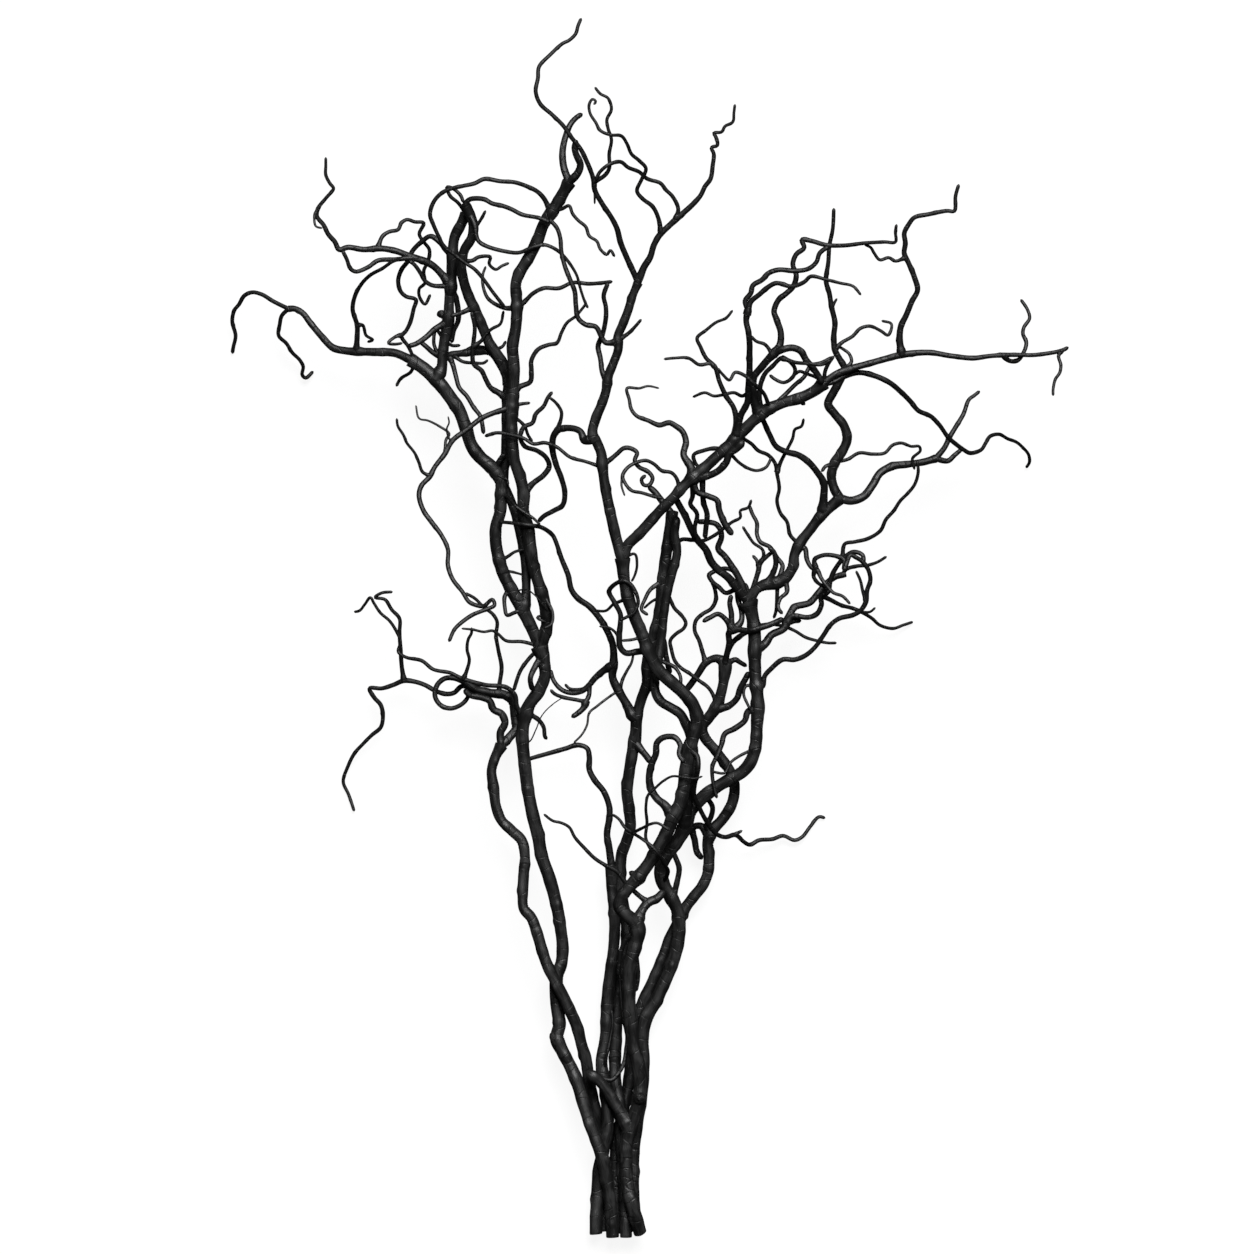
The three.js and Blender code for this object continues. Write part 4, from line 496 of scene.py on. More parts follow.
      limb(2.4, 3.1, [[68, 684], [72, 672], [82, 668], [90, 664], [92, 655], [97, 643], [104, 633, 128]]),
      limb(1.7, 1.7, [
        [56, 672], [54, 683], [49, 689], [40, 691], [33, 697], [26, 700], [17, 698], [9, 693], [5, 686],
        [7, 680], [13, 673], [22, 671], [32, 668], [41, 666]
      ],
        limb(1.2, 0.9, [[5, 686], [4, 678], [7, 668]]),
      ),
      limb(2.6, 2.2, [[78, 692], [77, 675], [78, 662], [81, 652], [80, 640], [79, 630, 110]]),
      limb(2.4, 1.8, [[67, 683], [68, 668], [66, 661], [72, 652], [70, 640], [71, 630, 104]]),
    ),
  ),
  "right_stem": limb(5.9, 5.6, [
    [17, 5, 6.6], [15.5, 20, 6.6], [14.2, 38, 6.6], [14.2, 58, 7], [14.5, 78, 9], [17, 100, 12],
    [21, 122, 15], [23.2, 142, 18], [23.5, 160, 20], [22.8, 178, 22], [26.5, 198, 24], [35, 213, 26],
    [42, 228, 28], [49, 245, 30], [54, 262, 32], [56, 280, 34], [54, 296, 36], [48, 308, 38],
    [42, 319, 40], [39, 330, 42], [42, 340, 44], [49, 350, 46], [56, 360, 48], [61, 370, 50],
    [66, 384, 52], [75, 395, 54], [88, 405, 56], [101, 413, 58], [113, 420, 60], [121, 430, 62],
    [125, 444, 63], [126, 462, 64], [127, 482, 65], [125, 502, 66], [124, 522, 67], [124, 542, 68],
    [122, 560, 69], [118, 573, 70]
  ],
    limb(2.7, 2.4, [[50, 304], [54, 320], [56, 333], [53, 342], [50, 349]]),
    limb(1.9, 1.3, [
      [44, 321], [46, 330, 62], [42, 338, 80], [37, 347, 89], [30, 354, 90], [22, 360, 88], [14, 365, 74],
      [7, 370], [2, 377], [-4, 381], [-10, 380, 60]
    ],
      limb(1.6, 1.2, [[14, 365], [22, 369, 84], [30, 373, 90], [36, 374], [42, 371, 92], [47, 367, 92]]),
    ),
    limb(4.2, 4, [
      [61, 370], [63, 386, 60], [65, 402], [67, 420, 72], [69, 438], [66, 452, 80], [62, 463],
      [57, 472, 84], [48, 478], [40, 483, 84], [35, 491], [34, 503, 84], [37, 520], [40, 540, 84],
      [42, 560], [45, 580, 88], [50, 600], [54, 618, 92], [52, 635], [54, 650, 96]
    ]),
    limb(3, 1.5, [
      [125, 476], [118, 474], [115, 466], [106, 459], [97, 454, 64], [94, 444], [90, 434, 66], [86, 425],
      [86, 414, 66], [88, 404], [90, 396, 66]
    ]),
    limb(1.5, 1.3, [[121, 441], [110, 434], [102, 428], [97, 419, 68], [86, 420, 70]]),
    limb(1.5, 1.3, [[125, 497], [116, 497], [114, 490], [117, 482], [120, 476, 70]]),
    limb(2.3, 2.1, [
      [126, 498], [131, 497], [133, 506], [139, 513], [149, 521], [160, 521], [170, 525], [179, 533],
      [186, 543], [192, 552], [200, 558], [212, 561], [219, 565], [224, 573], [225, 583], [228, 593],
      [226, 602], [221, 609], [215, 613], [210, 615], [206, 606], [204, 600]
    ],
      limb(1.6, 1.3, [[224, 573], [221, 583], [219, 592], [215, 601]]),
    ),
    limb(3.5, 2.6, [
      [125, 530], [133, 535], [139, 543], [150, 549], [154, 558], [160, 568], [173, 572], [180, 579],
      [187, 588], [196, 595], [206, 598]
    ],
      limb(2.5, 2, [
        [152, 553], [158, 560], [172, 559], [180, 562], [184, 570], [184, 578], [190, 582], [192, 592],
        [195, 600], [201, 609], [206, 614], [213, 618], [221, 615], [222, 607]
      ],
        limb(1.9, 1.5, [
          [202, 612], [205, 625], [214, 627], [226, 630], [237, 637], [242, 647], [249, 655], [255, 664],
          [262, 671], [268, 679], [271, 690], [270, 700]
        ]),
      ),
      limb(2.4, 2.2, [[152, 556], [160, 556], [166, 556]]),
      limb(1.9, 1.3, [[203, 598], [206, 602], [215, 605], [226, 606], [235, 609], [243, 614]]),
      limb(2.1, 1.4, [
        [182, 580], [192, 575], [202, 570], [213, 567], [222, 563], [230, 558], [237, 552], [249, 549],
        [258, 552], [267, 555, 2.3]
      ],
        limb(1.3, 1.2, [[213, 567], [222, 564], [228, 564], [233, 568]]),
      ),
    ),
    limb(1.7, 1.4, [
      [124, 550], [138, 553, 58], [150, 551, 52], [160, 547], [170, 541], [180, 538], [190, 536],
      [198, 536, 40]
    ]),
    limb(3.9, 3, [
      [118, 573], [113, 579], [107, 587], [100, 595], [91, 602, 84], [85, 609], [80, 620], [73, 628, 96],
      [67, 638], [62, 649], [56, 660, 112], [52, 667, 114]
    ]),
    limb(3.2, 2.3, [
      [116, 576], [110, 594], [104, 604], [97, 614], [91, 621], [94, 631], [93, 638], [89, 643], [80, 645],
      [72, 645, 80]
    ]),
    limb(2.6, 1.8, [
      [116, 580], [115, 588], [106, 584], [98, 581], [92, 586], [86, 591], [83, 597], [89, 601], [98, 603],
      [106, 600], [112, 594]
    ]),
    limb(2.5, 1.8, [[120, 575], [124, 590], [127, 600], [129, 608], [135, 614], [140, 618, 74]],
      limb(1.7, 1.4, [[129, 608], [132, 614], [131, 620], [123, 626], [118, 633], [113, 641]]),
      limb(1.7, 1.4, [[128, 604], [126, 610], [122, 615]]),
    ),
    limb(5.1, 4.6, [
      [119, 572], [124, 583], [132, 588], [143, 590], [152, 595], [158, 604], [160, 616], [165, 626],
      [174, 638], [184, 651], [194, 660], [201, 666, 86]
    ],
      limb(2.6, 2.1, [[134, 589], [141, 600], [143, 608], [141, 618], [136, 622]]),
      limb(2.2, 1.7, [
        [145, 590], [148, 600], [149, 606], [143, 614], [138, 622], [129, 627], [126, 634], [126, 644],
        [122, 652], [119, 660]
      ]),
      limb(2.3, 1.7, [[151, 594], [153, 582], [147, 576], [145, 568], [149, 562]]),
      limb(1.9, 1.5, [[144, 590], [144, 575], [143, 564], [141, 558]]),
      limb(2.4, 1.4, [
        [163, 622], [169, 621], [171, 611], [175, 604], [180, 602], [184, 594], [190, 586], [195, 581],
        [203, 578], [210, 571]
      ],
        limb(2.1, 2, [[179, 602], [178, 611], [186, 615], [198, 614], [204, 611], [204, 601]]),
        limb(1.8, 1.5, [[179, 602], [177, 596], [181, 590], [188, 585], [185, 578]]),
      ),
      limb(1.8, 1.8, [
        [164, 625], [156, 633], [153, 645], [147, 653], [144, 664], [146, 675], [144, 688], [142, 698],
        [136, 705], [127, 709], [121, 715], [115, 719], [110, 723, 114]
      ],
        limb(1.8, 1.3, [
          [144, 690], [147, 698], [153, 710], [158, 720], [160, 728], [166, 731], [168, 738]
        ]),
      ),
      limb(3.6, 2.3, [
        [184, 652], [186, 667], [186, 680], [180, 690], [172, 699], [163, 705], [152, 708], [143, 713],
        [137, 724], [132, 735], [129, 742, 128]
      ]),
      limb(3.9, 3.2, [
        [201, 666], [211, 664], [222, 668], [230, 678], [237, 689], [248, 695], [262, 697], [276, 699],
        [287, 702, 60]
      ],
        limb(2.8, 1.6, [
          [287, 702], [295, 712], [300, 722], [306, 732], [312, 742], [317, 755], [322, 759],
          [327, 763, 45]
        ]),
        limb(2.7, 1.9, [[287, 702], [298, 700], [304, 705], [311, 711]]),
      ),
      limb(4.4, 3.6, [
        [201, 666], [196, 674], [193, 686], [196, 698], [203, 709], [207, 720], [204, 732], [196, 742],
        [190, 751], [195, 762], [201, 773], [207, 785, 104]
      ],
        limb(3, 1.6, [
          [206, 783], [200, 792], [196, 800], [195, 812], [196, 824], [193, 838], [191, 850], [188, 862],
          [190, 878], [191, 893], [194, 908], [195, 927, 130]
        ],
          limb(1.4, 1.1, [[194, 838], [198, 846]]),
          limb(1.9, 1.3, [
            [197, 800], [202, 806], [212, 812], [219, 819], [228, 821], [237, 817], [244, 813], [247, 823],
            [238, 826]
          ]),
        ),
        limb(1.8, 1.3, [[207, 783], [211, 789], [209, 796], [204, 800], [199, 803]]),
        limb(1.8, 1.6, [[195, 697], [188, 695], [184, 690]]),
        limb(1.7, 1.4, [
          [197, 699], [207, 701], [218, 707], [230, 706], [241, 707], [248, 714], [256, 716], [265, 713],
          [272, 713], [273, 709], [266, 702], [268, 692]
        ]),
      ),
    ),
  ),
  "right_back_stem": limb(5.4, 4.6, [
    [0.5, 3, 6], [-1, 25, 6], [-1, 50, 6], [-1.3, 80, 6], [0.8, 96, 6], [5.2, 112, 6], [10.5, 140, 6],
    [14, 170, 7], [17.5, 195, 8], [23.5, 213, 9], [33, 232.5, 11], [42, 254.5, 13], [48, 271, 15],
    [55, 284, 17], [61, 296, 19], [69, 307, 21], [77, 317, 22], [82, 329, 23], [83, 343, 24],
    [82, 356, 25], [86, 367, 26], [95, 377, 28], [103, 390, 30], [106, 404, 32], [104, 416, 33],
    [97, 428, 35], [88, 440, 37], [79, 451, 39], [77, 460, 41], [82, 468, 43], [89, 478, 45],
    [94, 492, 47], [97, 508, 49], [98, 524, 51]
  ],
    limb(4.8, 4.4, [[59, 292], [63, 287]]),
    limb(3.1, 2.9, [[82, 362], [75, 371], [68, 369], [70, 358], [72, 348], [77, 341]]),
    limb(2.6, 2.2, [[84, 364], [81, 371], [85, 380], [86, 388], [81, 397, 42]]),
    limb(3.2, 3.1, [[97.5, 518], [89, 522], [80, 518], [73, 508], [66, 498], [62, 493]],
      limb(2, 1.8, [
        [80, 518], [77, 528], [74, 538], [70, 547], [71, 556], [77, 562], [85, 567], [89, 575], [88, 585],
        [85, 592, 52]
      ]),
    ),
    limb(3, 2.7, [[88, 477], [100, 479], [108, 486], [111, 495], [116, 504], [119, 510]]),
    limb(2.8, 2.5, [
      [97, 509], [98, 522], [101, 536], [101, 545], [107, 548, 70], [118, 547], [124, 548, 78],
      [139, 553, 74], [150, 558]
    ],
      limb(2.8, 2.2, [[103, 547], [103, 562], [101.5, 572], [103, 579.5, 72]]),
      limb(2.6, 2.3, [[105, 548], [112, 556], [112, 565], [109, 575], [108, 584]]),
      limb(2.6, 2, [[104, 548], [98, 557], [91, 562], [84, 559], [77, 555]]),
    ),
    limb(2.6, 2.3, [[97, 513], [99, 525], [104, 536], [112, 543], [119, 547, 55]]),
    limb(2.4, 2, [[98, 517], [107, 521], [110, 519], [117, 515]]),
    limb(1.7, 1.7, [
      [88, 478], [87, 488], [82, 496], [74, 502], [66, 508], [57, 514], [52, 520], [49, 530], [48, 538],
      [53, 544], [60, 549], [62, 554], [58, 561], [52, 567], [48, 575], [46, 581, 66]
    ]),
  ),
  "centre_stem": limb(5.5, 4.8, [
    [8, 0, 18.5], [8, 20, 18.5], [7, 42, 18.5], [5, 62, 18.5], [4, 85, 18.5], [3.5, 105, 18],
    [1.2, 125, 15.3], [-1.5, 140, 14], [-2, 155, 13], [-1.3, 172, 13], [-0.5, 190, 13], [0.5, 206, 13.5],
    [2.5, 222, 14], [5, 240, 15], [8, 260, 16], [8, 285, 16], [5, 305, 16], [3, 325, 18], [4, 345, 20],
    [8, 356, 24], [12, 370, 30], [11, 386, 36], [9, 402, 40], [11, 420, 44], [14, 438, 48], [17, 455, 52],
    [18, 470, 56], [22, 485, 60], [27, 500, 63], [27, 515, 66], [30, 530, 68], [34, 545, 70],
    [38, 562, 72], [40, 580, 74], [42, 600, 76], [45, 620, 78], [47, 638, 80], [50, 655, 82]
  ],
    limb(4, 1.5, [
      [18, 468], [14, 471], [8, 482], [2, 492], [-4, 505, 62], [-3, 520], [-4, 535], [-10, 549, 72],
      [-17, 560], [-25, 569], [-35, 576], [-41, 584], [-44, 597, 80], [-50, 612], [-55, 627],
      [-58, 633, 86], [-68, 640, 94], [-80, 642, 100], [-95, 644, 94], [-107, 645, 87]
    ],
      limb(3.1, 1.8, [
        [-4, 516], [-12, 511], [-20, 504], [-26, 497], [-33, 492], [-42, 491], [-50, 494], [-57, 502],
        [-60, 512, 50]
      ]),
      limb(2.2, 1.4, [[-4, 513], [-15, 509], [-23, 501], [-30, 495], [-38, 494], [-43, 495], [-47, 499]],
        limb(2, 1.6, [[-25, 498], [-25, 490], [-28, 484], [-38, 485], [-48, 487], [-56, 490], [-60, 494]],
          limb(2.5, 2.4, [[-28, 484], [-30, 478], [-35, 473], [-41, 469]]),
        ),
      ),
      limb(1.2, 1, [[1, 493], [-9, 486], [-18, 479], [-25, 473], [-27, 462], [-32, 453], [-39, 446]]),
      limb(1.7, 1.1, [[3, 492], [5, 503], [9, 511], [13, 518], [15, 527]]),
    ),
    limb(3.1, 3, [[18, 446], [25, 436], [31, 428, 60]]),
    limb(2.1, 1.6, [[42, 594], [38, 590], [30, 584], [25, 575], [22, 566], [28, 561]]),
    limb(1.5, 1.1, [[41, 583], [47, 582], [40, 578], [31, 573], [24, 567]]),
    limb(2, 1.6, [[29, 522], [36, 521], [44, 518], [52, 514], [57, 506], [57, 498], [54, 492]]),
    limb(2.5, 2.5, [[35, 548], [42, 538], [44, 525], [48, 508]]),
    limb(1.9, 1.4, [
      [45, 622], [52, 624], [58, 629], [66, 629], [77, 628], [88, 633], [97, 640], [104, 645], [111, 649],
      [111, 655], [118, 658], [121, 665]
    ]),
    limb(3, 3, [[49, 652], [44, 659], [38, 667], [33, 673], [28, 677]]),
  ),
}


# ---- centrelines -----------------------------------------------------------------------------


def path_heights(path, start_height, lean):
    """The height at every point of a path; a path that states no height at its tip leans up or down."""
    steps = [math.dist(a[:2], b[:2]) for a, b in zip(path, path[1:])]
    runs = np.concatenate([[0.0], np.cumsum(steps)])
    pins = [(0.0, path[0][2] if len(path[0]) > 2 else start_height)]
    pins += [(runs[i], point[2]) for i, point in enumerate(path) if i and len(point) > 2]
    if pins[-1][0] < runs[-1]:
        tip = pins[-1][1] + lean * (runs[-1] - pins[-1][0])
        pins.append((runs[-1], max(tip, LOWEST_TIP)))
    return np.interp(runs, [run for run, _ in pins], [height for _, height in pins])


def trace_curve(points):
    """A smooth line through the points: each span bends with its neighbours, paced by its length's root."""
    points = [np.array(point, float) for point in points]
    traced = []
    for i in range(len(points) - 1):
        start, end = points[i], points[i + 1]
        before = points[i - 1] if i else 2 * start - end
        after = points[i + 2] if i + 2 < len(points) else 2 * end - start
        pace = [math.sqrt(np.linalg.norm(b - a)) for a, b in ((before, start), (start, end), (end, after))]
        leave = (start - before) / pace[0] - (end - before) / (pace[0] + pace[1]) + (end - start) / pace[1]
        arrive = (end - start) / pace[1] - (after - start) / (pace[1] + pace[2]) + (after - end) / pace[2]
        leave, arrive = leave * pace[1], arrive * pace[1]
        steps = max(2, math.ceil(np.linalg.norm(end - start) / SAMPLE_STEP))
        for t in np.arange(steps) / steps:
            bend = 3 * (end - start) - 2 * leave - arrive
            turn = 2 * (start - end) + leave + arrive
            traced.append(start + leave * t + bend * t**2 + turn * t**3)
    traced.append(points[-1])
    return np.array(traced)


def runs_along(line):
    """How far each sample lies along a line."""
    return np.concatenate([[0.0], np.cumsum(np.linalg.norm(np.diff(line, axis=0), axis=1))])


def centreline(shape, parent_line, lean):
    """A limb's centreline. A side shoot starts on the centreline of the limb that bears it."""
    path = shape["path"]
    if parent_line is None:
        heights = path_heights(path, path[0][2], lean)
        return trace_curve([[x[0], x[1], z] for x, z in zip(path, heights)]), None
    nearest = int(np.argmin(np.hypot(*(parent_line[:, :2] - path[0][:2]).T)))
    root = parent_line[nearest]
    heights = path_heights(path, root[2], lean)
    points = [[x[0], x[1], z] for x, z in zip(path, heights)]
    points[0] = list(root)
    return trace_curve(points), nearest


# ---- bark shapes -----------------------------------------------------------------------------

THICK_LIMB = 3.4  # limbs thicker than this get fine rings
RING_GAPS = {"thick": 1.2, "thin": 1.3}
SIDES = {"thick": 20, "thin": 12}
TIP_ROUNDING = 1.3  # length of the rounded tip, in radii
OVERLAP = 9.0  # how far a limb that carries on from a tip reaches back inside it
BUD_GAPS = (13.0, 26.0)  # least and most distance between buds
BUD_TURN = math.radians(137.5)  # each bud sits this far round from the last
CUT_SLANT = 0.16  # how far a cut end leans from square
RESTING = 0.1  # bark that touches the table is pressed flat at this height


def even_line(line, gap):
    """The same line with samples at an even gap."""
    runs = runs_along(line)
    at = np.linspace(0, runs[-1], max(5, round(runs[-1] / gap)) + 1)
    return np.stack([np.interp(at, runs, line[:, k]) for k in range(3)], axis=1)


def wander(rng, runs, pitch):
    """A smooth random value along a limb, from -1 to 1, that changes about every pitch."""
    knots = rng.uniform(-1, 1, int(runs[-1] / pitch) + 3)
    at = runs / pitch
    low = at.astype(int)
    share = at - low
    share = share * share * (3 - 2 * share)
    return knots[low] * (1 - share) + knots[low + 1] * share


def hump(distance, width):
    """A smooth bump, 1 at its middle."""
    return np.exp(-((distance / width) ** 2))


def bends_of(line, runs):
    """The curvature vector at each sample."""
    heading = np.gradient(line, runs, axis=0)
    heading /= np.linalg.norm(heading, axis=1)[:, None]
    return np.gradient(heading, runs, axis=0)


def bark_radii(rng, runs, radii, angles, facing, bends, joints, free_tip):
    """The radius at every vertex of a limb's rings: swellings, ridges, buds, wrinkles and a rounded tip."""
    share = 1 + 0.03 * wander(rng, runs, 15.0)[:, None] + 0.015 * wander(rng, runs, 4.0)[:, None]
    share = share + 0.035 * np.cos(2 * (angles[None] - 2 * wander(rng, runs, 45.0)[:, None]))
    for lobes in (3, 5):
        turn = 2.5 * wander(rng, runs, 30.0)[:, None]
        share = share + 0.014 * np.cos(lobes * angles[None] + turn) * (1 + wander(rng, runs, 9.0)[:, None])
    for run, thickness in joints:
        width = 1.2 * thickness + 1.5
        share = share + 0.13 * min(1.0, thickness / 2.5) * hump(runs - run, width)[:, None]
    run = rng.uniform(*BUD_GAPS) * 0.6
    turn = rng.uniform(0, 2 * math.pi)
    while run < runs[-1] - 4:
        radius = np.interp(run, runs, radii)
        share = share + 0.05 * hump(runs - run, 0.7 * radius + 0.6)[:, None]
        around = np.angle(np.exp(1j * (angles - turn)))
        bud = hump(runs - run - 0.5, 0.45 * radius + 0.9)[:, None] * hump(around, 0.42)[None]
        share = share + (0.11 + 0.12 / radius) * bud
        run += rng.uniform(*BUD_GAPS)
        turn += BUD_TURN
    inside = np.maximum(0, np.einsum("rk,rsk->rs", bends, facing)) * radii[:, None]
    creases = np.sin(2 * math.pi * runs / 3.1 + 2 * wander(rng, runs, 6.0))[:, None]
    share = share - 0.16 * np.minimum(inside, 0.5) * (0.6 + creases)
    if free_tip:
        left = (runs[-1] - runs) / (TIP_ROUNDING * radii[-1])
        cap = np.sqrt(np.clip(1 - (1 - np.clip(left, 0, 1)) ** 2, 0.06, 1))
        share = share * cap[:, None]
    return radii[:, None] * share


def sweep_tube(name, line, radii, sides):
    """A closed tube on a line, made from a bevelled curve; its vertices run ring by ring."""
    bpy.ops.object.select_all(action="DESELECT")
    curve = bpy.data.curves.new(name, "CURVE")
    curve.dimensions = "3D"
    curve.bevel_depth = 1.0
    curve.bevel_resolution = (sides - 4) // 2
    spline = curve.splines.new("POLY")
    spline.points.add(len(line) - 1)
    spline.points.foreach_set("co", np.column_stack([line, np.ones(len(line))]).ravel())
    spline.points.foreach_set("radius", radii)
    tube = bpy.data.objects.new(name, curve)
    bpy.context.scene.collection.objects.link(tube)
    tube.select_set(True)
    bpy.context.view_layer.objects.active = tube
    bpy.ops.object.convert(target="MESH")
    bpy.ops.object.mode_set(mode="EDIT")
    bpy.ops.mesh.select_all(action="SELECT")
    bpy.ops.mesh.fill_holes(sides=0)
    bpy.ops.mesh.normals_make_consistent(inside=False)
    bpy.ops.object.mode_set(mode="OBJECT")
    return bpy.context.view_layer.objects.active


def shape_limb(name, shape, line, joints, back, free_tip, cut_base, seed):
    """One limb as a closed mesh. back is the stretch of the bearing limb that it overlaps, or None."""
    rng = np.random.default_rng(seed)
    kind = "thick" if shape["thick"] > THICK_LIMB else "thin"
    own_runs = runs_along(line)
    radii = np.interp(own_runs, [0, own_runs[-1]], [shape["thick"], shape["thin"]])
    shift = 0.0
    if back is not None:
        shift = runs_along(back)[-1]
        line = np.vstack([back[:-1], line])
        radii = np.concatenate([np.full(len(back) - 1, radii[0] * 0.96), radii])
    runs = runs_along(line)
    centres = even_line(line, RING_GAPS[kind])
    at = runs_along(centres)
    at *= runs[-1] / at[-1]
    radii = np.interp(at, runs, radii)
    sides = SIDES[kind]
    tube = sweep_tube(name, centres * MM, radii * MM, sides)
    mesh = tube.data
    points = np.zeros(len(mesh.vertices) * 3)
    mesh.vertices.foreach_get("co", points)
    points = points.reshape(len(centres), sides, 3) / MM
    facing = points - centres[:, None]
    facing /= np.linalg.norm(facing, axis=2)[..., None]
    angles = 2 * math.pi * np.arange(sides) / sides
    joints = [(run + shift, thickness) for run, thickness in joints]
    rims = bark_radii(rng, at, radii, angles, facing, bends_of(centres, at), joints, free_tip)
    if not cut_base and back is None and at[-1] > 5 * shape["thick"]:
        collar = 1 + 0.5 * np.exp(-np.maximum(0, at - shape["thick"] * 1.6) / (1.1 * shape["thick"]))
        rims = rims * collar[:, None]
    points = centres[:, None] + facing * rims[..., None]
    if cut_base:
        heading = centres[1] - centres[0]
        heading /= np.linalg.norm(heading)
        lean = CUT_SLANT * rng.uniform(-1, 1) * rims * np.cos(angles + rng.uniform(0, 6))[None]
        points += heading * (lean * np.exp(-at / 4.0)[:, None])[..., None]
        points[0] = centres[0] + (points[0] - centres[0]) * 0.94
    points[..., 2] = np.maximum(points[..., 2], RESTING)
    mesh.vertices.foreach_set("co", ((points + SHELF_SHIFT) * MM).ravel())
    grain = np.stack(np.broadcast_arrays(
        np.cos(angles)[None] * radii[:, None],
        np.sin(angles)[None] * radii[:, None],
        at[:, None] + 400.0 * rng.uniform(),
    ), axis=2) * MM
    mesh.attributes.new("grain", "FLOAT_VECTOR", "POINT").data.foreach_set("vector", grain.ravel())
    mesh.update()
    return tube


def combine(piece, other, operation):
    """Joins other to piece as one closed skin, or cuts it out of piece."""
    piece.select_set(True)
    bpy.context.view_layer.objects.active = piece
    bpy.ops.object.modifier_add(type="BOOLEAN")
    joint = piece.modifiers[-1]
    joint.operation = operation
    joint.solver = "MANIFOLD"
    joint.object = other
    bpy.ops.object.modifier_apply(modifier=joint.name)
    bpy.data.objects.remove(other)


def grow_limb(name, shape, parent_line, lean, seeds):
    """A limb with everything that grows from it, as one mesh."""
    line, nearest = centreline(shape, parent_line, lean)
    runs = runs_along(line)
    back = None
    if nearest is not None:
        parent_runs = runs_along(parent_line)
        if parent_runs[-1] - parent_runs[nearest] < 3.0:
            first = int(np.searchsorted(parent_runs, parent_runs[nearest] - OVERLAP))
            back = parent_line[first:nearest + 1]
    joints = []
    free_tip = True
    for shoot in shape["side"]:
        at = int(np.argmin(np.hypot(*(line[:, :2] - shoot["path"][0][:2]).T)))
        joints.append((runs[at], shoot["thick"]))
        free_tip = free_tip and runs[-1] - runs[at] > 3.0
    piece = shape_limb(name, shape, line, joints, back, free_tip, parent_line is None, next(seeds))
    for i, shoot in enumerate(shape["side"]):
        grown = grow_limb(f"{name}.{i}", shoot, line, -TWIG_LEAN if i % 2 else TWIG_LEAN, seeds)
        combine(piece, grown, "UNION")
    return piece


def mend_grain(mesh):
    """Vertices made by a join have no grain yet: they take their neighbours'."""
    grain = np.zeros(len(mesh.vertices) * 3)
    data = mesh.attributes["grain"].data
    data.foreach_get("vector", grain)
    grain = grain.reshape(-1, 3)
    edges = np.zeros(len(mesh.edges) * 2, int)
    mesh.edges.foreach_get("vertices", edges)
    edges = edges.reshape(-1, 2)
    for _ in range(GRAIN_PASSES):
        bare = ~grain.any(axis=1)
        total = np.zeros_like(grain)
        count = np.zeros(len(grain))
        for one, other in ((edges[:, 0], edges[:, 1]), (edges[:, 1], edges[:, 0])):
            known = bare[one] & ~bare[other]
            total[one[known]] = grain[other[known]]
            count[one[known]] = 1
        found = count > 0
        grain[found] = total[found]
    data.foreach_set("vector", grain.ravel())


# ---- materials -------------------------------------------------------------------------------


def new_group(name, inputs, outputs):
    """An empty shader node group with named float or vector sockets."""
    group = bpy.data.node_groups.new(name, "ShaderNodeTree")
    for label, kind in inputs:
        group.interface.new_socket(name=label, in_out="INPUT", socket_type=f"NodeSocket{kind}")
    for label, kind in outputs:
        group.interface.new_socket(name=label, in_out="OUTPUT", socket_type=f"NodeSocket{kind}")
    return group


def add_node(tree, kind, links=(), **values):
    """A node with its properties and constant inputs set, and its inputs linked."""
    node = tree.nodes.new(f"ShaderNode{kind}")
    for key, value in values.items():
        if key in node.inputs:
            node.inputs[key].default_value = value
        else:
            setattr(node, key, value)
    for key, source in dict(links).items():
        tree.links.new(source, node.inputs[key])
    return node


def stretched_noise_group():
    """Noise drawn out along or around a limb: Stretch scales the grain's three directions."""
    group = new_group("stretched_noise", [("Grain", "Vector"), ("Stretch", "Vector"), ("Detail", "Float")],
                      [("Value", "Float")])
    ends = group.nodes.new("NodeGroupInput"), group.nodes.new("NodeGroupOutput")
    scaled = add_node(group, "VectorMath", {0: ends[0].outputs["Grain"], 1: ends[0].outputs["Stretch"]},
                      operation="MULTIPLY")
    noise = add_node(group, "TexNoise", {"Vector": scaled.outputs[0], "Detail": ends[0].outputs["Detail"]},
                     Scale=1.0, Roughness=0.6)
    group.links.new(noise.outputs["Fac"], ends[1].inputs["Value"])
    return group


def band_group():
    """Turns a value into thin lines where it crosses a level: 1 on the line, 0 away from it."""
    group = new_group("thin_band", [("Value", "Float"), ("Level", "Float"), ("Width", "Float")],
                      [("Line", "Float")])
    ends = group.nodes.new("NodeGroupInput"), group.nodes.new("NodeGroupOutput")
    away = add_node(group, "Math", {0: ends[0].outputs["Value"], 1: ends[0].outputs["Level"]},
                    operation="SUBTRACT")
    size = add_node(group, "Math", {0: away.outputs[0]}, operation="ABSOLUTE")
    line = add_node(group, "MapRange", {"Value": size.outputs[0], "From Max": ends[0].outputs["Width"]},
                    interpolation_type="SMOOTHSTEP")
    line.inputs["From Min"].default_value = 0.0
    line.inputs["To Min"].default_value = 1.0
    line.inputs["To Max"].default_value = 0.0
    group.links.new(line.outputs[0], ends[1].inputs["Line"])
    return group


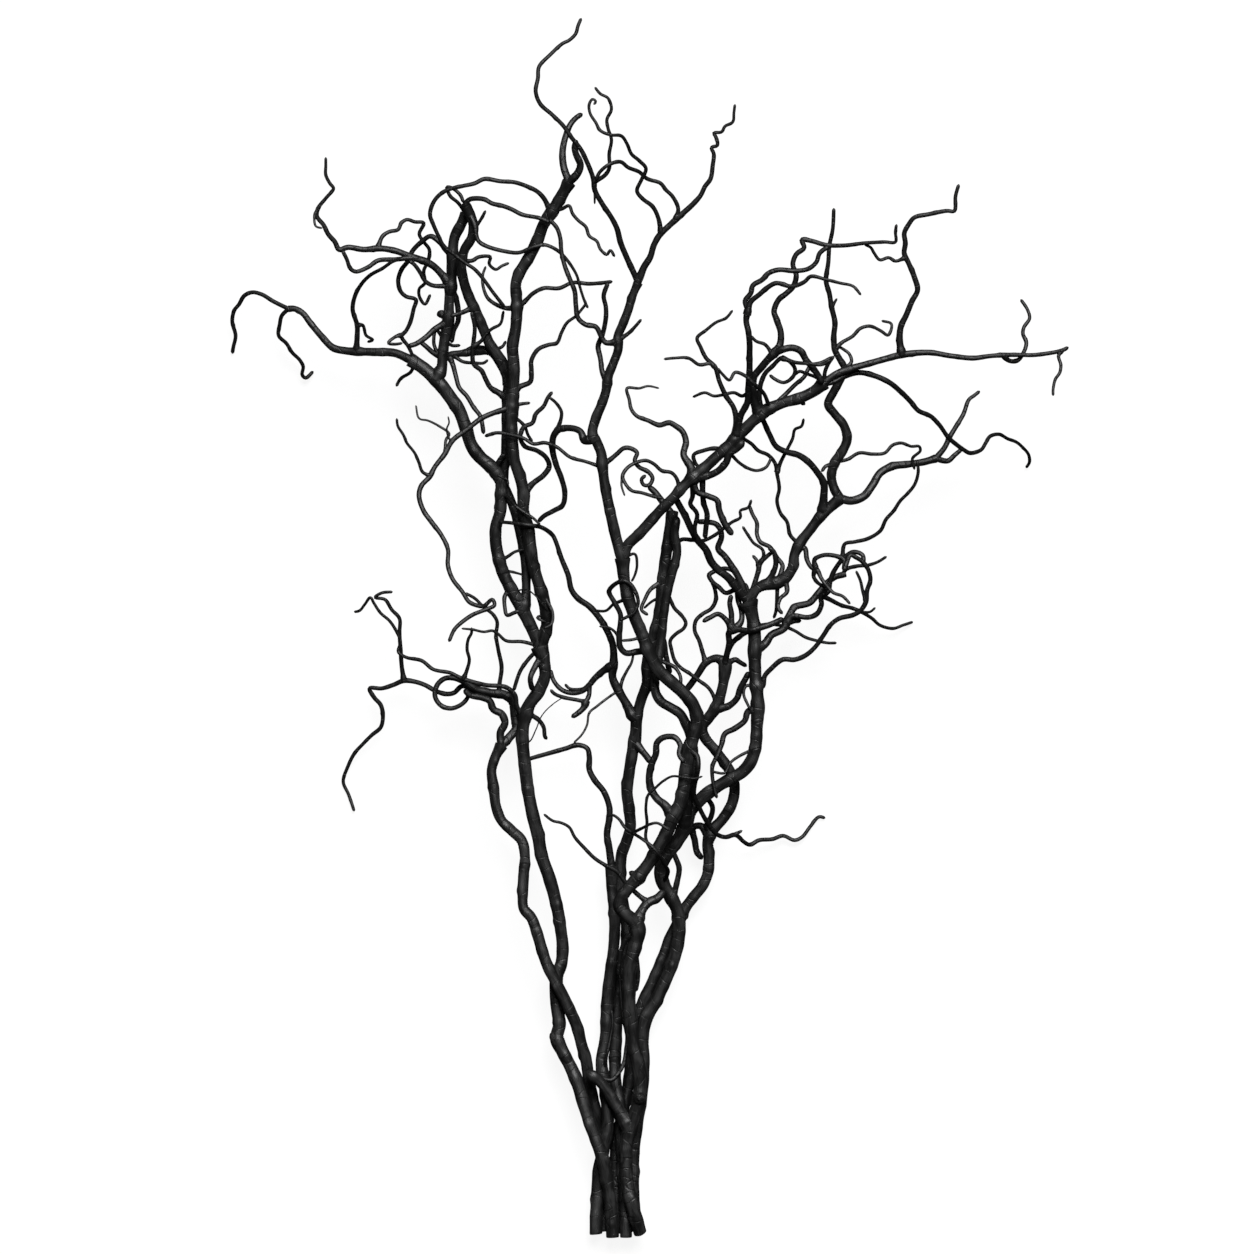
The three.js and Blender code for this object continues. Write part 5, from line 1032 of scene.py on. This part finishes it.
def dots_group():
    """Small round pores over a surface: 1 in a pore, 0 between. Share is how many cells hold one."""
    group = new_group("pores", [("Grain", "Vector"), ("Stretch", "Vector"), ("Size", "Float"),
                                ("Share", "Float")], [("Pore", "Float")])
    ends = group.nodes.new("NodeGroupInput"), group.nodes.new("NodeGroupOutput")
    scaled = add_node(group, "VectorMath", {0: ends[0].outputs["Grain"], 1: ends[0].outputs["Stretch"]},
                      operation="MULTIPLY")
    cells = add_node(group, "TexVoronoi", {"Vector": scaled.outputs[0]}, Scale=1.0)
    spot = add_node(group, "MapRange",
                    {"Value": cells.outputs["Distance"], "From Max": ends[0].outputs["Size"]},
                    interpolation_type="SMOOTHSTEP")
    spot.inputs["From Min"].default_value = 0.0
    spot.inputs["To Min"].default_value = 1.0
    spot.inputs["To Max"].default_value = 0.0
    chance = add_node(group, "SeparateColor", {"Color": cells.outputs["Color"]})
    chosen = add_node(group, "Math", {0: chance.outputs[0], 1: ends[0].outputs["Share"]},
                      operation="LESS_THAN")
    pore = add_node(group, "Math", {0: spot.outputs[0], 1: chosen.outputs[0]}, operation="MULTIPLY")
    group.links.new(pore.outputs[0], ends[1].inputs["Pore"])
    return group


def use_group(tree, group, links=(), **values):
    """Places a node group in a material."""
    node = tree.nodes.new("ShaderNodeGroup")
    node.node_tree = group
    for key, value in values.items():
        node.inputs[key].default_value = value
    for key, source in dict(links).items():
        tree.links.new(source, node.inputs[key])
    return node


def add_up(tree, first, *others):
    """The sum of a value and scaled others, each given as (value, scale)."""
    total = first
    for value, scale in others:
        total = add_node(tree, "Math", {0: value, 2: total}, operation="MULTIPLY_ADD").outputs[0]
        total.node.inputs[1].default_value = scale
    return total


def colour_steps(tree, value, steps):
    """A colour ramp through (position, grey or colour) steps."""
    ramp = add_node(tree, "ValToRGB", {"Fac": value})
    while len(ramp.color_ramp.elements) < len(steps):
        ramp.color_ramp.elements.new(0.5)
    for element, (place, colour) in zip(ramp.color_ramp.elements, steps):
        element.position = place
        element.color = (*colour, 1)
    return ramp.outputs["Color"]


def bark_material(noise, band, pores):
    """Satin black-stained bark: fissures along the stem, rings across it, pits and raised pores; the pits and
    sunken ring lines are darkened with painted shade.
    """
    material = bpy.data.materials.new("stained_bark")
    material.use_nodes = True
    tree = material.node_tree
    shader = tree.nodes["Principled BSDF"]
    grain = add_node(tree, "Attribute", attribute_name="grain").outputs["Vector"]
    across = add_node(tree, "VectorMath", {0: grain}, operation="MULTIPLY")
    across.inputs[1].default_value = (1, 1, 0)
    radius = add_node(tree, "VectorMath", {0: across.outputs[0]}, operation="LENGTH").outputs["Value"]
    stout = add_node(tree, "MapRange", {"Value": radius}).outputs[0]
    for key, value in (("From Min", 0.0012), ("From Max", 0.0048), ("To Min", -0.5), ("To Max", 0.5)):
        stout.node.inputs[key].default_value = value
    fissures = use_group(tree, noise, {"Grain": grain}, Stretch=(1300, 1300, 120), Detail=3.0).outputs[0]
    patches = use_group(tree, noise, {"Grain": grain}, Stretch=(170, 170, 45), Detail=2.0).outputs[0]
    rings = use_group(tree, noise, {"Grain": grain}, Stretch=(22, 22, 52), Detail=1.0).outputs[0]
    lines = use_group(tree, band, {"Value": rings}, Level=0.5, Width=0.014).outputs[0]
    spots = use_group(tree, pores, {"Grain": grain}, Stretch=(170, 170, 110), Size=0.12, Share=0.3).outputs[0]
    dots = use_group(tree, pores, {"Grain": grain}, Stretch=(330, 330, 230), Size=0.2, Share=0.3).outputs[0]
    height = add_up(tree, fissures, (patches, 0.6), (lines, -0.7), (spots, -2.0), (dots, 0.9))
    # painted shade: the sunken pits (spots) and ring lines are darkened in the tone; the fissure grain,
    # patches, pale pores and limb thickness vary the bark's own tone
    tone = add_up(tree, patches, (fissures, 0.4), (lines, -0.2), (spots, -0.3), (dots, 0.25), (stout, 0.25))
    colour = colour_steps(tree, tone, [(0.35, BARK_DARK), (0.75, BARK_MID), (1.0, BARK_PALE)])
    tree.links.new(colour, shader.inputs["Base Color"])
    rough = add_node(tree, "MapRange", {"Value": tone})
    for key, value in (("From Min", 0.3), ("From Max", 0.9), ("To Min", 0.56), ("To Max", 0.4)):
        rough.inputs[key].default_value = value
    tree.links.new(rough.outputs[0], shader.inputs["Roughness"])
    shader.inputs["Specular IOR Level"].default_value = BARK_SHINE
    bump = add_node(tree, "Bump", {"Height": height}, Strength=0.7, Distance=0.0005)
    tree.links.new(bump.outputs[0], shader.inputs["Normal"])
    return material


def cut_material(noise, band):
    """A sawn end, stained with the bark: growth rings round a dark pith."""
    material = bpy.data.materials.new("stained_cut_wood")
    material.use_nodes = True
    tree = material.node_tree
    shader = tree.nodes["Principled BSDF"]
    grain = add_node(tree, "Attribute", attribute_name="grain").outputs["Vector"]
    flat = add_node(tree, "VectorMath", {0: grain}, operation="MULTIPLY")
    flat.inputs[1].default_value = (1, 1, 0)
    reach = add_node(tree, "VectorMath", {0: flat.outputs[0]}, operation="LENGTH").outputs["Value"]
    blur = use_group(tree, noise, {"Grain": grain}, Stretch=(500, 500, 500), Detail=3.0).outputs[0]
    turns = add_node(tree, "Math", {0: reach}, operation="MULTIPLY")
    turns.inputs[1].default_value = CUT_RINGS
    unsteady = add_up(tree, turns.outputs[0], (blur, 2.5))
    wave = add_node(tree, "Math", {0: unsteady}, operation="SINE").outputs[0]
    pith = use_group(tree, band, {"Value": reach}, Level=0.0, Width=0.0011).outputs[0]
    tone = add_up(tree, blur, (wave, 0.12), (pith, -0.5))
    colour = colour_steps(tree, tone, [(0.2, BARK_DARK), (0.8, CUT_PALE)])
    tree.links.new(colour, shader.inputs["Base Color"])
    shader.inputs["Roughness"].default_value = 0.75
    bump = add_node(tree, "Bump", {"Height": tone}, Strength=0.5, Distance=0.0003)
    tree.links.new(bump.outputs[0], shader.inputs["Normal"])
    return material


# ---- the seven stems -------------------------------------------------------------------------

BARK_DARK = (0.0015, 0.0015, 0.0015)
BARK_MID = (0.0055, 0.0055, 0.0055)
BARK_PALE = (0.03, 0.03, 0.03)
CUT_PALE = (0.05, 0.047, 0.043)
BARK_SHINE = 0.45
CUT_RINGS = 5200.0  # a growth ring about every 1.2 mm
GRAIN_PASSES = 6
ROT_HOLES = [([20.6, 129.0, 52.2], 1.6), ([19.4, 123.6, 51.4], 1.2)]  # place and radius
CREASE = math.radians(48)

# Hair-thin twigs: which limb bears each one, by its stem and the side shoots' numbers, and its shape.
FINE_TWIGS = [
    (["left_stem"], limb(0.7, 0.45, [[-85, 447], [-79, 447, 55], [-73, 458], [-68, 470], [-60, 479],
                                     [-50, 486],
                                     [-45, 488, 63]])),
    (["left_stem", 6], limb(0.8, 0.5, [[-94, 582], [-82, 584, 78], [-74, 579, 86], [-68, 572, 85.5],
                                       [-63, 565, 82],
                                       [-60, 554, 77]])),
    (["left_stem", 6], limb(0.7, 0.5, [[-105, 682], [-112, 685, 80], [-107, 686.5, 86], [-100, 683, 85],
                                       [-97, 679, 80]])),
    (["left_stem", 7, 12], limb(1.0, 0.7, [[-150, 717], [-152, 722], [-153, 729], [-151, 734],
                                           [-152, 740, 120]])),
]

groups = stretched_noise_group(), band_group(), dots_group()
bark = bark_material(*groups)
cut_wood = cut_material(*groups[:2])


def dress_stem(stem, name):
    """Gives a finished stem its shading, its materials and its place in the object."""
    mend_grain(stem.data)
    stem.data.materials.clear()
    stem.data.materials.append(bark)
    stem.data.materials.append(cut_wood)
    start = np.array(STEMS[name]["path"][0]) + SHELF_SHIFT
    for face in stem.data.polygons:
        if len(face.vertices) > 8 and math.dist(face.center, start * MM) < 0.004:
            face.material_index = 1
    bpy.ops.object.select_all(action="DESELECT")
    stem.select_set(True)
    bpy.context.view_layer.objects.active = stem
    bpy.ops.object.shade_smooth_by_angle(angle=CREASE)
    stem.name = f"{name}_bark"
    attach(stem, STEM_BODY)
    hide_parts(name)


def numbers(first):
    """Counts up from a number: each limb's random shape has its own."""
    while True:
        yield first
        first += 1


def rot_holes(stem):
    """Small holes where the pith of the knob has rotted away."""
    for place, radius in ROT_HOLES:
        bpy.ops.object.select_all(action="DESELECT")
        bpy.ops.mesh.primitive_ico_sphere_add(
            subdivisions=2, radius=radius * MM, location=(np.array(place) + SHELF_SHIFT) * MM)
        combine(stem, bpy.context.object, "DIFFERENCE")


for (name, *turns), twig in FINE_TWIGS:
    bearer = STEMS[name]
    for turn in turns:
        bearer = bearer["side"][turn]
    bearer["side"] += (twig,)

bpy.ops.object.select_all(action="DESELECT")
for order, (name, shape) in enumerate(STEMS.items()):
    stem = grow_limb(name, shape, None, TWIG_LEAN, numbers(1000 * order))
    if name == "front_stem":
        rot_holes(stem)
    dress_stem(stem, name)


# ---- floor, light and camera -----------------------------------------------------------------

scene = bpy.context.scene

FLOOR_SIZE = 120  # metres
FLOOR_SHADE = (0.12, 0.12, 0.12)  # the part of the floor's white that a shadow can take away
FLOOR_GLOW = 0.9
FLOOR_BOUNCE = (0.02, 0.02, 0.02)  # what the floor throws back up at the bark
SUN_POWER = 4.4
SUN_SPREAD = math.radians(35)
SUN_LEAN = (math.radians(-34), math.radians(8), 0)  # from beyond the tips, a little to one side
ROOM_GLOW = 0.02
VIEW_WIDTH = 1.1286  # metres of the bunch across the picture
VIEW_MIDDLE = (-0.0201, 0.00205, 0.09)
LENS = 1200.0  # long, so that the view is nearly square on all over
SENSOR = 36.0

bpy.ops.mesh.primitive_plane_add(size=FLOOR_SIZE, location=(0, 0, 0))
floor = bpy.context.object
floor.name = "floor"
pale = bpy.data.materials.new("pale_floor")
pale.use_nodes = True
tree = pale.node_tree
sheen = tree.nodes["Principled BSDF"]
sheen.inputs["Base Color"].default_value = (*FLOOR_SHADE, 1)
sheen.inputs["Roughness"].default_value = 0.9
sheen.inputs["Specular IOR Level"].default_value = 0.0
glow = add_node(tree, "Emission", Color=(1, 1, 1, 1), Strength=FLOOR_GLOW)
seen = add_node(tree, "AddShader", {0: sheen.outputs[0], 1: glow.outputs[0]})
dull = add_node(tree, "BsdfDiffuse", Color=(*FLOOR_BOUNCE, 1))
mix = add_node(tree, "MixShader", {0: add_node(tree, "LightPath").outputs["Is Camera Ray"],
                                   1: dull.outputs[0], 2: seen.outputs[0]})
tree.links.new(mix.outputs[0], tree.nodes["Material Output"].inputs["Surface"])
floor.data.materials.append(pale)

bpy.ops.object.light_add(type="SUN", location=(0, 0, 3))
softbox = bpy.context.object
softbox.data.energy = SUN_POWER
softbox.data.angle = SUN_SPREAD
softbox.rotation_euler = SUN_LEAN

# the room gives little light, and is white where the camera sees past the floor
scene.world = bpy.data.worlds.new("studio")
scene.world.use_nodes = True
room = scene.world.node_tree
dim = room.nodes["Background"]
dim.inputs["Color"].default_value = (1, 1, 1, 1)
dim.inputs["Strength"].default_value = ROOM_GLOW
white = add_node(room, "Background", Color=(1, 1, 1, 1), Strength=1.0)
backdrop = add_node(room, "MixShader", {0: add_node(room, "LightPath").outputs["Is Camera Ray"],
                                        1: dim.outputs[0], 2: white.outputs[0]})
room.links.new(backdrop.outputs[0], room.nodes["World Output"].inputs["Surface"])
scene.view_settings.view_transform = "Standard"

view_x, view_y, view_z = VIEW_MIDDLE
distance = VIEW_WIDTH * LENS / SENSOR
bpy.ops.object.camera_add(location=(view_x, view_y, view_z + distance), rotation=(0, 0, 0))
camera = bpy.context.object
camera.data.lens = LENS
camera.data.sensor_width = SENSOR
camera.data.clip_end = 100
scene.camera = camera
